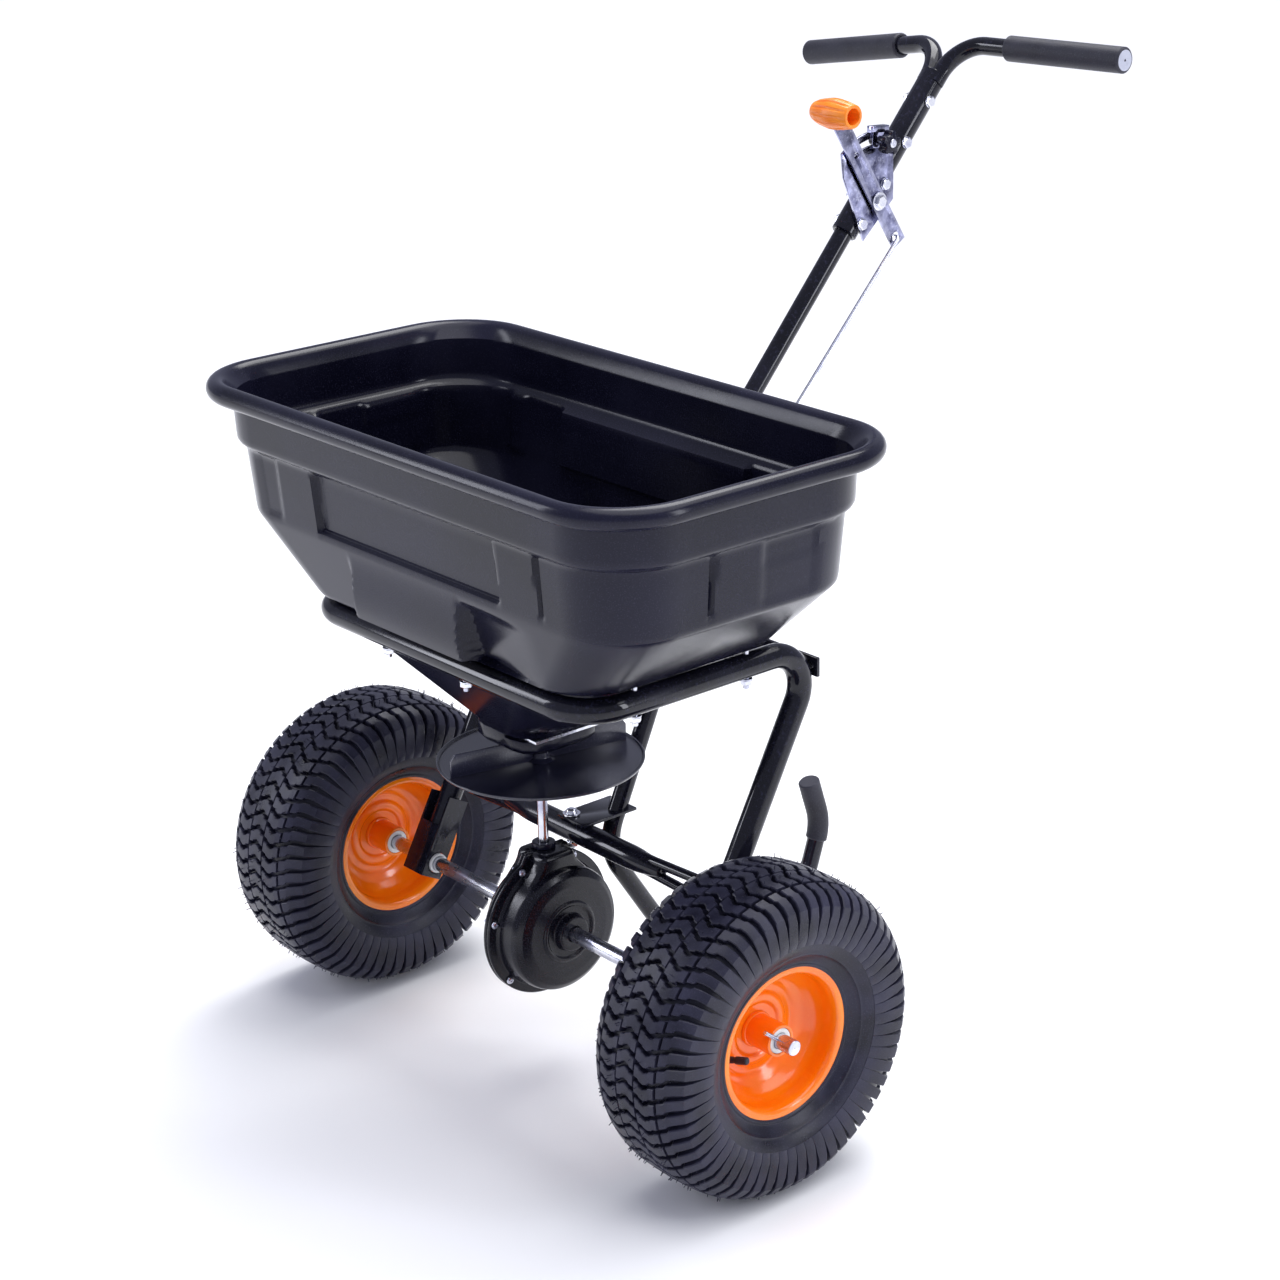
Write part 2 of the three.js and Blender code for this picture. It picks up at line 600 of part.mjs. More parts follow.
const BRACKET_HALF = 17.2;
const BRACKET_SHEET = 3;
const legTilt = -Math.atan(1 / LEG_SLOPE);

/** Folded channel at the foot of a leg, closed at the front, with the axle's bush through it. */
function axleBracket() {
  const [w, t, front] = [BRACKET_HALF, BRACKET_SHEET, -FRAME_R - GAP];
  const shape = new THREE.Shape([[-w, front - t], [w, front - t], [w, 12], [w - t, 12], [w - t, front],
    [t - w, front], [t - w, 12], [-w, 12]].map(([x, y]) => new THREE.Vector2(x, y)));
  const channel = new THREE.ExtrudeGeometry(shape, { depth: 92, bevelEnabled: false });
  return cut(channel.translate(0, 0, -18), barX(acrossFlats(11 + GAP, 12), -30, 30, 12)).rotateX(legTilt);
}
const CROSSBAR_R = 13;
const crossbarZ = 252;
for (const [label, side] of [['right', 1], ['left', -1]]) {
  const x = side * (LEG_X - 1);
  piece(`${label}_axle_bracket`, axleBracket(), blackPaint(), axleAt(x));
  const bush = sleeveX(11, acrossFlats(AXLE_R + GAP, 12), -20, 20);
  piece(`${label}_axle_bush`, bush, whiteNylon(), axleAt(x));
}
const crossbarHalf = LEG_X - FRAME_R - 3.2;
const crossbarY = legY(crossbarZ);
const plateBoltX = -19;
const plateBoltHole = barZ(BOLT_R + 1 + GAP, 200, 300, 8, plateBoltX, crossbarY);
const crossbarTube = cut(sleeveX(CROSSBAR_R, CROSSBAR_R - 2, -crossbarHalf, crossbarHalf, 12).translate(0, crossbarY, crossbarZ), plateBoltHole);
piece('crossbar', crossbarTube, blackPaint());

// ---------------------------------------------------------------- stand and handle pole
const slope = Math.atan(HANDLE_RISE);
/** Point on the handle's axis, a distance down from the uppermost clamp bolt. */
const onHandle = (down, x = 0) => at(x, FORK[0] - down * Math.cos(slope), FORK[1] - down * Math.sin(slope));
const poleCorners = [
  onHandle(POLE_TOP),
  ...POLE_BENDS.map(([y, z]) => at(0, y, z)),
  at(0, ...STAND_TIP),
];
const poleLine = bentLine(poleCorners, POLE_BENDS.map((bend) => bend[2]), 4);
const boltThrough = (down, radius = BOLT_R + GAP) => {
  const { y, z } = onHandle(down);
  return barX(acrossFlats(radius, 6), -40, 40, 6, y, z);
};
const clampHoles = CLAMP_BOLTS.map((down) => boltThrough(down));
const pivotHole = boltThrough(PIVOT_DOWN, BOLT_R + 1 + GAP);
const strapPoleHole = barY(BOLT_R + GAP, 150, 215, 8, 0, 474);
const pole = cut(tube(poleLine, POLE_R, POLE_R - POLE_WALL, 12, 6), ...clampHoles.slice(1), pivotHole, strapPoleHole);
piece('handle_pole_and_stand', pole, blackPaint());

/** Rubber sleeve over the tip of the stand, closed at the top. */
function standSleeve() {
  const [start, second, ...rest] = poleLine.slice(-6);
  const tip = rest.pop();
  const up = tip.clone().sub(rest[rest.length - 1]).normalize();
  const before = start.clone().addScaledVector(second.clone().sub(start).normalize(), -8);
  const skin = tube([start, second, ...rest, tip.clone().addScaledVector(up, 3)], 12.3, 0);
  const bore = tube([before, start, second, ...rest, tip.clone().addScaledVector(up, GAP)], POLE_R + 2 * GAP, 0);
  return cut(skin, bore);
}
piece('stand_tip_sleeve', standSleeve(), gripRubber());

const poleClearance = tube([at(0, ...POLE_BENDS[1]).setZ(POLE_BENDS[1][1]), at(0, POLE_BENDS[0][0], POLE_BENDS[0][1])],
  POLE_R + GAP + 0.2, 0);
const standPlate = cut(block([-30, crossbarY - 10, crossbarZ + CROSSBAR_R + GAP], [14, 109, crossbarZ + CROSSBAR_R + 3 + GAP]),
  poleClearance, plateBoltHole);
piece('stand_plate', standPlate, blackPaint());
const plateTop = CROSSBAR_R + 3 + 2 * GAP;
const plateBolt = joined(
  barZ(9.5, plateTop, plateTop + 2, 12),
  barZ(6.5, plateTop + 1, plateTop + 7, 6),
  barZ(BOLT_R + 1, -CROSSBAR_R - 8.5, plateTop + 1.5, 8),
  barZ(6.5, -CROSSBAR_R - 7, -CROSSBAR_R - GAP, 6),
);
piece('stand_plate_bolt', plateBolt, zinc(), [plateBoltX, crossbarY, crossbarZ]);

const strap = cut(block([-STRAP_HALF, STRAP[0], STRAP[2]], [STRAP_HALF, STRAP[1], STRAP[3]]), ...strapHoles, strapPoleHole);
piece('rear_strap', strap, blackPaint());

/** Bolt along -Y with its head behind. */
function boltY(x, z, headY, length) {
  return joined(barY(6, headY, headY + 4, 6, x, z), barY(BOLT_R, headY - length, headY + 1, 8, x, z));
}
for (const [label, side] of [['right', 1], ['left', -1]]) {
  piece(`${label}_strap_bolt`, boltY(side * FRAME_X, strapBoltZ, STRAP[1] + GAP, 24), zinc());
}
piece('pole_bolt', boltY(0, strapBoltZ + 4, 204, 42), zinc());

// ---------------------------------------------------------------- handle bar
/** Direction of a grip: out, slightly back, drooping, with the bar rolled on its clamp. */
const gripDirection = (side) => at(side, BAR_SWEEP, side * BAR_ROLL - BAR_DROOP);

/** One bent half of the bar: a half shell round the pole that runs on as a round tube. */
function barHalf(side) {
  const centre = side * BAR_OFFSET;
  const corner = onHandle(-BAR_RISE, centre);
  const end = corner.clone().addScaledVector(gripDirection(side), GRIP_END - 5 - BAR_OFFSET);
  const line = bentLine([onHandle(SHELL_TOP + 12, centre), corner, end], [BAR_BEND], 6);
  const upperTube = tube(line, BAR_R, BAR_R - 1.8);
  const shell = tube([onHandle(SHELL_BOTTOM), onHandle(SHELL_TOP)], SHELL_R, POLE_R + GAP + 0.1, 16, 12);
  const sideOnly = block([side > 0 ? GAP / 2 : -300, 300, 700], [side > 0 ? 300 : -GAP / 2, 700, 1100]);
  return cut(common(joined(shell, upperTube), sideOnly), ...clampHoles, pivotHole);
}

/** Rubber grip with a closed, vented end. */
function grip(side) {
  const corner = onHandle(-BAR_RISE, side * BAR_OFFSET);
  const along = (x) => corner.clone().addScaledVector(gripDirection(side), x - BAR_OFFSET);
  const skin = tube([along(GRIP_START), along(GRIP_END)], GRIP_R, 0);
  const bore = tube([along(GRIP_START - 10), along(GRIP_END - 4)], acrossFlats(BAR_R + GAP, 12), 0);
  return cut(skin, bore, tube([along(GRIP_END - 20), along(GRIP_END + 5)], 1.5, 0, 8));
}

for (const [label, side] of [['right', 1], ['left', -1]]) {
  piece(`handle_bar_${label}_half`, barHalf(side), blackPaint());
  piece(`${label}_grip`, grip(side), gripRubber());
}

/** Bolt right through the handle with its nut run up: head at +X, nut at -X. */
function handleBolt(down, headX, nutX) {
  const { y, z } = onHandle(down);
  return joined(barX(6, headX, headX + 4, 6), barX(6, nutX - 5, nutX, 6), barX(BOLT_R, nutX - 8, headX + 1, 8))
    .translate(0, y, z);
}
const plateOuter = PLATE_X + PLATE_SHEET;
const boltHeads = [SHELL_R + GAP, SHELL_R + GAP, plateOuter + GAP, plateOuter + GAP];
const nutFace = -SHELL_R - GAP;
CLAMP_BOLTS.forEach((down, k) => piece(`handle_bolt_${k + 1}`, handleBolt(down, boltHeads[k], nutFace), zinc()));

// ---------------------------------------------------------------- gate lever and rate stop
const pivot = onHandle(PIVOT_DOWN);
/** Direction in the YZ plane at an angle behind upright, as [y, z]. */
const leaning = (angle) => [Math.sin(angle), Math.cos(angle)];
const aroundPivot = (angle, radius) => leaning(angle).map((part, k) => part * radius + [pivot.y, pivot.z][k]);

/** Fixed plate on the handle, with the arc slot that the rate stop slides in. */
function ratePlate() {
  const arc = Array.from({ length: 9 }, (_, k) => aroundPivot(0.36 - 0.135 * k, SLOT_R + 11));
  const rest = [[-46, 30], [-17, -41], [4, -22], [27, -2], [27, 22]];
  const outline = [...arc, ...rest.map(([y, z]) => [pivot.y + y, pivot.z + z])];
  const slotSide = (radius) => Array.from({ length: 9 }, (_, k) => aroundPivot(0.3 - 0.12 * k, radius));
  const slot = sheetX([...slotSide(SLOT_R + 3.6), ...slotSide(SLOT_R - 3.6).reverse()], 0, 40);
  return cut(sheetX(outline, PLATE_X, plateOuter), slot, ...clampHoles, pivotHole);
}
piece('rate_plate', ratePlate(), zinc());

/** Flat bar about the pivot, from below it to inside the knob. */
function leverBar() {
  const width = LEVER_WIDTH / 2;
  const bar = block([LEVER_X, -width, -LEVER_DOWN - 9], [LEVER_X + 2.5, width, LEVER_UP - 4]);
  const holes = [barX(4 + 2 * GAP, 0, 40, 8), barX(5.8, 0, 40, 8, 0, -LEVER_DOWN), barX(3.5, 0, 40, 8, 0, 62)];
  return cut(bar, ...holes).rotateX(LEVER_LEAN).translate(0, pivot.y, pivot.z);
}
piece('gate_lever', leverBar(), zinc());

/** Barrel knob, slotted underneath for the lever, hollow from its +X end. */
function barrelKnob() {
  const half = KNOB_LENGTH / 2;
  const profile = [[0, -half], [9, -half], [14.5, -half * 0.55], [16.5, 0], [15, half * 0.5], [12.5, half], [8.5, half],
    [8.5, half - 20], [0, half - 20]];
  const knobX = LEVER_X;
  const barrel = turnedX(profile, 16).translate(knobX, 0, LEVER_UP);
  const width = LEVER_WIDTH / 2 + GAP;
  const slot = block([LEVER_X - GAP, -width, 80], [LEVER_X + 2.5 + GAP, width, LEVER_UP - 4 + GAP]);
  return cut(barrel, slot).rotateX(LEVER_LEAN).translate(0, pivot.y, pivot.z);
}
piece('lever_knob', barrelKnob(), orangePlastic());

const pivotBolt = joined(
  barX(10, LEVER_X + 2.5 + GAP, LEVER_X + 4.5, 12),
  barX(6.5, LEVER_X + 4, LEVER_X + 8.5, 6),
  barX(4, -SHELL_R - 9, LEVER_X + 5, 8),
  barX(6.5, -SHELL_R - GAP - 5, -SHELL_R - GAP, 6),
);
piece('lever_pivot_bolt', pivotBolt, zinc(), [0, pivot.y, pivot.z]);

/** Stop that the lever meets: a clip on the plate's edge, held by the clamp knob's screw. */
const stopAt = aroundPivot(STOP_ANGLE, SLOT_R);
function rateStop() {
  const x0 = plateOuter + GAP;
  const clip = block([x0, -9, SLOT_R - 7], [x0 + 2, 7, SLOT_R + 17]).rotateX(-STOP_ANGLE);
  const finger = block([x0, -17, SLOT_R + 10], [x0 + 9, 7, SLOT_R + 17]).rotateX(-STOP_ANGLE);
  return joined(clip, finger).translate(0, pivot.y, pivot.z);
}
const stopScrewHole = barX(BOLT_R + GAP, 0, 60, 8, ...stopAt);
piece('rate_stop', cut(rateStop(), stopScrewHole), zinc());

/** Five-lobed clamp knob, moulded on the screw that runs through the stop and the slot. */
function starKnob() {
  const lobes = 5;
  const outline = Array.from({ length: lobes * 4 }, (_, k) => {
    const radius = k % 4 < 2 ? 13 : 9.5;
    const angle = (Math.PI / (2 * lobes)) * k;
    return new THREE.Vector2(radius * Math.cos(angle), radius * Math.sin(angle));
  });
  const star = new THREE.ExtrudeGeometry(new THREE.Shape(outline), { depth: 12, bevelEnabled: false });
  const knobX = plateOuter + 10 + 2 * GAP;
  return joined(star.rotateY(Math.PI / 2).translate(knobX, 0, 0), barX(BOLT_R, PLATE_X - 1, knobX + 14, 8),
    barX(5.5, PLATE_X - 6, PLATE_X - GAP, 8));
}
piece('rate_stop_knob', starKnob(), blackPlastic(), [0, ...stopAt]);

/** Straight rod with a hook at each end, from the lever down to the gate's tab. */
function controlRod() {
  const rodX = LEVER_X + 6.5;
  const top = aroundPivot(Math.PI - LEVER_LEAN, LEVER_DOWN);
  const line = bentLine([at(LEVER_X - 1, ...top), at(rodX, ...top), at(rodX, ...TAB), at(GATE_X - 9, ...TAB)], [3.4, 3.4], 2);
  return tube(line, ROD_R, 0, 8);
}
piece('control_rod', controlRod(), zinc());

// ---------------------------------------------------------------- origin
const footprint = new THREE.Box3().setFromObject(spreader).getCenter(new THREE.Vector3());
spreader.position.set(-footprint.x, -footprint.y, 0);

export default spreader;
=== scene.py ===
"""Push-behind broadcast spreader in a plain pale studio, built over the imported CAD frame.

Metres, +Z up. +X is the drive wheel's side and +Y the operator's. Sizes are written in millimetres,
from the point on the ground under the middle of the axle, and at() turns them into frame places.
"""

import json
import math
import random

import bmesh
import bpy
from mathutils import Matrix, Vector

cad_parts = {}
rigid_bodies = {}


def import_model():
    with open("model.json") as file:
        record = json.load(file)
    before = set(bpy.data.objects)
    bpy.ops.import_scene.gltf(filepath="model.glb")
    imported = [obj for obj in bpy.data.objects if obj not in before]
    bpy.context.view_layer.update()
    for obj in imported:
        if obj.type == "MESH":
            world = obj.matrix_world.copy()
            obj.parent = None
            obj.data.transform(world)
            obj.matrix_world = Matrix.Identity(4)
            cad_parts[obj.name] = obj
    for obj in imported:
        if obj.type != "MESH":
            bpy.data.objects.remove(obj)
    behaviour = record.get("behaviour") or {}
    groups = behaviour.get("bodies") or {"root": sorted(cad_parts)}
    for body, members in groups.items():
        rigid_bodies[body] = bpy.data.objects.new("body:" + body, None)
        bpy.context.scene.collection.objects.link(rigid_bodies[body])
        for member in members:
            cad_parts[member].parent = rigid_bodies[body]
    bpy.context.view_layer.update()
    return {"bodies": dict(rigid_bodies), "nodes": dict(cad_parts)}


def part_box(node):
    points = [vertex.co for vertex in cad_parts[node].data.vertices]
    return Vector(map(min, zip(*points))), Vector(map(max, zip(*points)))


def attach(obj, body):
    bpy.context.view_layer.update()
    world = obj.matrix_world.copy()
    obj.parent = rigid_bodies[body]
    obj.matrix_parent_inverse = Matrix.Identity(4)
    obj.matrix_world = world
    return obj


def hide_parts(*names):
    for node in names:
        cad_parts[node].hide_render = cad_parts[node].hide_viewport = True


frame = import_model()

MM = 0.001
AXLE_LOW, AXLE_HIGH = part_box("axle")
AXLE_Y = (AXLE_LOW.y + AXLE_HIGH.y) / 2
AXLE_Z = (AXLE_LOW.z + AXLE_HIGH.z) / (2 * MM)

# -------- driving dimensions, millimetres
TRACK_HALF = 315
TYRE_R = 165
TYRE_HALF = 63.4
RIM_R = 79.4
HUB_R = 16.5
HUB_BORE_R = 13.2
HUB_HALF = 39
AXLE_R = 8
AXLE_HALF = 374
PIN_TILT = 0.9
STEM_AIM = (0.93, 0.30, 0.19)
# Pressed rim half: radius and distance from the wheel's middle plane.
RIM_PATH = [(17.9, 1.9), (26.5, 1.9), (29.5, 5.4), (35.5, 5.4), (38.5, 1.9), (46, 1.9), (50, 5.4), (57, 8.4),
            (65.5, 17.5), (69.6, 26), (69.8, 38.5), (72.2, 44.4), (77.4, 44.8), (RIM_R, 43.9)]
TREAD_PITCHES = 60
TREAD_HEIGHT = 6.8
# Chevron block: share of its half length, share of its lead, share of the tread's height.
CHEVRON = [(-1, 0, 0.5), (-0.94, 0.04, 1), (-0.5, 0.28, 1), (-0.42, 0.6, 1), (0, 1, 1),
           (0.42, 0.6, 1), (0.5, 0.28, 1), (0.94, 0.04, 1), (1, 0, 0.5)]
CHEVRON_ROWS = (-25.0, 0.0, 25.0)
# Shoulder blade: distance along the carcass, lead and width in pitches, share of the tread's height.
SHOULDER_BLADE = [
    (39.2, 0, 0.70, 1), (45, 0.10, 0.70, 1), (47, 0.26, 0.68, 1), (54, 0.34, 0.66, 1), (62, 0.34, 0.70, 0.92),
    (71, 0.34, 0.78, 0.74), (80, 0.34, 0.87, 0.52), (89, 0.34, 0.94, 0.3), (98, 0.34, 0.97, 0.05),
]
# Tyre carcass from the crown to the bead: radius and distance from the wheel's middle plane.
CARCASS = [
    (158.0, 0), (157.4, 20), (155.5, 36), (150.5, 47), (142, 56), (131, 60.4), (119, 62.2), (107, 60.6),
    (96, 55.8), (88, 49.8), (83, 46.6), (80.6, 46.9), (76.5, 44.6),
]
# Inner face of the tyre, from the bead up to the crown.
TYRE_LINING = [(75.4, 36.5), (86, 40.5), (112, 55.5), (135, 52), (150, 34), (152.6, 0)]
SIDE_RIBS = (112.0, 93.0)
HAIR_COUNT = 420
HAIR_R = 0.42
HAIR_TOP = 170.5
HAIR_FLOOR = 1.5

LEG_X = 219
LEG_SLOPE = 1.857
LEG_FOOT = 192
FRAME_R = 12.7
FRAME_X = 220
FRAME_FRONT = -124
FRAME_Z = 494
FRAME_BENDS = [38, 45, 45, 38]

POLE_R = 10
# Bends of the pole and stand: [y, z, radius].
POLE_BENDS = [[279, 670, 80], [76, 227, 60], [219, 10, 45], [339, 10, 45], [391, 161, 60]]
STAND_TIP = [374, 214]
HANDLE_RISE = 1.129
FORK = [536, 960]
POLE_TOP = 20
SHELL_R = 14
SHELL_TOP = -34
SHELL_BOTTOM = 170
BAR_R = 9.6
BAR_RISE = 74
BAR_BEND = 42
BAR_OFFSET = 7.2
BAR_ROLL = 0.087
BAR_DROOP = 0.07
BAR_SWEEP = 0.045
GRIP_R = 13.6
GRIP_START = 79
GRIP_END = 231
CLAMP_BOLTS = [0, 52, 104, 155]
PIVOT_DOWN = 125

CROSSBAR_R = 13
CROSSBAR_Z = 252
PRONG_START = 70
PRONG_R = 5.4
# Axle bracket's two side plates, from the middle of its bush.
BRACKET_PLATE_X = 15.8
BRACKET_THICK = 2.8
BRACKET_SPAN = (-15.4, 11.6)
BRACKET_FOOT = -17.6
BRACKET_HEAD = 73.6

SHAFT_X = -8
SHAFT_R = 5.5
IMPELLER_R = 108
IMPELLER_Z = 346
VANE_TOP = 373
VANE_TURNS = [1.39, -1.8]
# Gearbox halves: radius and distance from the middle plane.
BOX_PROFILE_RIGHT = [
    (8.6, 0.2), (80, 0.2), (80, 4.6), (75, 5.2), (70.5, 5.6), (69, 9), (68.2, 27), (66.5, 32.5), (60, 37),
    (50, 38.4), (34, 38.6), (32.5, 40.4), (29.5, 40.4), (28, 38.6), (21, 38.6), (20, 40), (18.6, 48),
    (8.6, 48),
]
BOX_PROFILE_LEFT = [
    (8.6, -0.2), (80, -0.2), (80, -4.6), (75, -5.2), (70.5, -5.6), (68.6, -9), (66.5, -18.5), (60, -26),
    (50, -27.2), (34, -27.2), (32.5, -28.8), (29.5, -28.8), (28, -27.2), (21, -27.2), (20, -28.4),
    (18.6, -36), (8.6, -36),
]
NECK_DEPTH = {"right": 27, "left": 20}
SCREW_ANGLES = (27, 75, 132)
SCREW_RING = 74.6
# Gearbox hood and flange over the shaft: [y, z] outlines.
HOOD = [(-20, 250), (20, 250), (24, 237), (48, 212), (40, 180), (-40, 180), (-48, 212), (-24, 237)]
FLANGE = [(-27, 249), (27, 249), (32, 240), (62, 209), (50, 180), (-50, 180), (-62, 209), (-32, 240)]
SCREW_HEAD = [(0, -9.5), (2.0, -9.5), (2.0, 5.7), (4.2, 5.7), (4.2, 6.6), (3.4, 8.0), (1.6, 8.6), (1.4, 7.4),
              (0, 7.4)]

HOPPER_Y = -3
HOPPER_WALL = 3.5
# Half length, half width, corner radius, height, and how far the middle stands off along X.
HOPPER_LEVELS = [
    (52, 52, 30, 396, -8),
    (54, 54, 32, 402, -8),
    (180, 88, 50, 458, -8),
    (190.5, 94.5, 56, 497, 0),
    (232, 134, 58, 514, 0),
    (315, 158, 74, 591, 0),
    (321, 164, 78, 662, 0),
    (328, 171, 80, 667, 0),
    (329.5, 172.5, 80, 711, 0),
]
HOPPER_ROLL = (340.5, 183.5, 79, 720)
ROLL_R = 10.8
# A height above everything that is pressed into the walls.
ABOVE_WALLS = 800
FRONT_COLUMNS = 124
SIDE_COLUMNS = 40
CORNER_COLUMNS = 12
PANEL = (-149, 144)
PANEL_DEPTH = 7
POST_OUTER = -214
GROOVE_X = 210
SIDE_GROOVE_Y = -46
SIDE_STEP_Y = 17
BOSS = (-104, 74)
NOTCH_END = 190

PLATE_OUTER = 17
LEVER_X = 20
LEVER_LEAN = 0.562
LEVER_UP = 118
LEVER_DOWN = 50
KNOB_LENGTH = 57
FLUTES = 12
ROD_R = 2.5
# Where the rod hooks into the gate's tab: [y, z].
TAB = (77, 404)
GATE_X = 25

# Camera: metres from the point under the middle of the axle, and radians.
CAMERA_PLACE = (2.12456, -1.64554, 1.47399)
CAMERA_AZIMUTH = math.radians(50.11)
CAMERA_ELEVATION = math.radians(20.33)
CAMERA_ROLL = -0.021547


def at(x, y, z):
    """A place given in millimetres as a place in the frame."""
    return Vector((x * MM, y * MM + AXLE_Y, z * MM))


# -------- materials
def link(tree, source, output, target, socket):
    """Joins one node's output to another's input."""
    tree.links.new(source.outputs[output], target.inputs[socket])


def noise(tree, where, scale, detail):
    """Noise texture in the object's own space."""
    node = tree.nodes.new("ShaderNodeTexNoise")
    node.inputs["Scale"].default_value = scale
    node.inputs["Detail"].default_value = detail
    link(tree, where, "Object", node, "Vector")
    return node


def spread(tree, source, output, low, high, to_low, to_high):
    """Maps a range of values onto another."""
    node = tree.nodes.new("ShaderNodeMapRange")
    for socket, value in (("From Min", low), ("From Max", high), ("To Min", to_low), ("To Max", to_high)):
        node.inputs[socket].default_value = value
    link(tree, source, output, node, "Value")
    return node


def mixed(tree, factor, first, second):
    """Colour between two others; each is a colour or a (node, output) pair."""
    node = tree.nodes.new("ShaderNodeMix")
    node.data_type = "RGBA"
    link(tree, factor, "Result", node, "Factor")
    for index, value in ((6, first), (7, second)):
        if isinstance(value[0], bpy.types.Node):
            tree.links.new(value[0].outputs[value[1]], node.inputs[index])
        else:
            node.inputs[index].default_value = (*value, 1)
    return node


def finish(name, colour, shade, rough, metallic=0.0, coat=0.0, patch=9.0, grain=600.0, bump=0.15,
           worn_and_highlight=None, edge_wear_and_highlight=0.35, sheen=0.5):
    """Procedural finish: wide colour patches, fine specks, sharp edges lightened as wear and as painted
    highlight, uneven gloss and a fine grain.
    """
    material = bpy.data.materials.new(name)
    material.use_nodes = True
    tree = material.node_tree
    shader = tree.nodes["Principled BSDF"]
    where = tree.nodes.new("ShaderNodeTexCoord")
    wide = noise(tree, where, patch, 5)
    fine = noise(tree, where, grain, 3)
    patches = spread(tree, wide, "Fac", 0.35, 0.65, 0, 1)
    specks = spread(tree, fine, "Fac", 0.55, 0.8, 0, 0.5)
    base = mixed(tree, patches, colour, shade)
    speckled = mixed(tree, specks, (base, 2), worn_and_highlight or shade)
    # Sharp edges take the lighter worn colour: partly wear, partly a painted highlight along the edges.
    geometry = tree.nodes.new("ShaderNodeNewGeometry")
    edges = spread(tree, geometry, "Pointiness", 0.53, 0.62, 0, edge_wear_and_highlight)
    final = mixed(tree, edges, (speckled, 2), worn_and_highlight or shade)
    tree.links.new(final.outputs[2], shader.inputs["Base Color"])
    gloss = spread(tree, wide, "Fac", 0.3, 0.7, rough[0], rough[1])
    link(tree, gloss, "Result", shader, "Roughness")
    relief = tree.nodes.new("ShaderNodeBump")
    relief.inputs["Strength"].default_value = bump
    relief.inputs["Distance"].default_value = 0.0004
    link(tree, fine, "Fac", relief, "Height")
    link(tree, relief, "Normal", shader, "Normal")
    shader.inputs["Metallic"].default_value = metallic
    shader.inputs["Coat Weight"].default_value = coat
    shader.inputs["Specular IOR Level"].default_value = sheen
    shader.inputs["Coat Roughness"].default_value = 0.06
    return material


# Each worn colour is lighter than its base and goes on sharp edges as wear and as a painted edge highlight.
FINISHES = {
    "black_tube": finish("black_tube_paint", (0.004, 0.004, 0.007), (0.010, 0.010, 0.018), (0.08, 0.16),
                         patch=14, grain=260, bump=0.02, worn_and_highlight=(0.04, 0.04, 0.08), edge_wear_and_highlight=0.1, sheen=0.34),
    "black_plastic": finish("hopper_plastic", (0.003, 0.003, 0.009), (0.009, 0.009, 0.022), (0.14, 0.26),
                            patch=7, grain=900, bump=0.08, worn_and_highlight=(0.05, 0.05, 0.09), edge_wear_and_highlight=0.2, sheen=0.24),
    "tyre": finish("tyre_rubber", (0.006, 0.006, 0.013), (0.019, 0.019, 0.038), (0.26, 0.44),
                   patch=26, grain=700, bump=0.35, worn_and_highlight=(0.06, 0.06, 0.10), edge_wear_and_highlight=0.3, sheen=0.28),
    "grip_rubber": finish("grip_rubber", (0.014, 0.014, 0.022), (0.026, 0.026, 0.038), (0.45, 0.6),
                          patch=30, grain=900, bump=0.3, worn_and_highlight=(0.1, 0.1, 0.13), sheen=0.3),
    "zinc": finish("zinc_plate", (0.78, 0.79, 0.83), (0.45, 0.46, 0.58), (0.16, 0.34), metallic=1.0,
                   patch=45, grain=900, bump=0.06, worn_and_highlight=(0.86, 0.87, 0.9)),
    "orange_paint": finish("orange_paint", (0.94, 0.16, 0.001), (0.97, 0.24, 0.002), (0.12, 0.22),
                           coat=0.2, patch=12, grain=500, bump=0.05, worn_and_highlight=(0.98, 0.3, 0.02), edge_wear_and_highlight=0.2),
    "orange_plastic": finish("orange_plastic", (0.95, 0.20, 0.004), (0.98, 0.27, 0.010), (0.3, 0.42),
                             patch=40, grain=900, bump=0.1, worn_and_highlight=(1.0, 0.45, 0.12)),
    "white_plastic": finish("white_nylon", (0.80, 0.80, 0.78), (0.70, 0.70, 0.68), (0.35, 0.5),
                            patch=60, grain=900, bump=0.1, worn_and_highlight=(0.9, 0.9, 0.9)),
}
# Here too the worn colour is a lighter edge tone, standing for wear and for a painted edge highlight.
GEARBOX_FINISH = finish("gearbox_plastic", (0.003, 0.003, 0.006), (0.006, 0.006, 0.012), (0.14, 0.26),
                        sheen=0.32, patch=10, grain=800, bump=0.08, worn_and_highlight=(0.08, 0.08, 0.11), edge_wear_and_highlight=0.2)
IMPELLER_FINISH = finish("impeller_paint", (0.010, 0.010, 0.022), (0.022, 0.022, 0.045), (0.16, 0.26),
                         patch=12, grain=600, bump=0.06, worn_and_highlight=(0.10, 0.10, 0.16), edge_wear_and_highlight=0.25, sheen=0.8)
GRIP_END_FINISH = finish("grip_end_rubber", (0.36, 0.38, 0.46), (0.46, 0.48, 0.56), (0.5, 0.7),
                         patch=60, grain=900, bump=0.3, worn_and_highlight=(0.6, 0.6, 0.65))
PASSIVATED = finish("passivated_zinc", (0.34, 0.35, 0.52), (0.02, 0.02, 0.06), (0.08, 0.26), metallic=1.0,
                    patch=60, grain=320, bump=0.08, worn_and_highlight=(0.75, 0.76, 0.9))

# -------- mesh helpers
BODY_NAMES = {empty.name: name for name, empty in frame["bodies"].items()}


def body_of_node(node):
    """Name of the body that a CAD node belongs to."""
    return BODY_NAMES[frame["nodes"][node].parent.name]


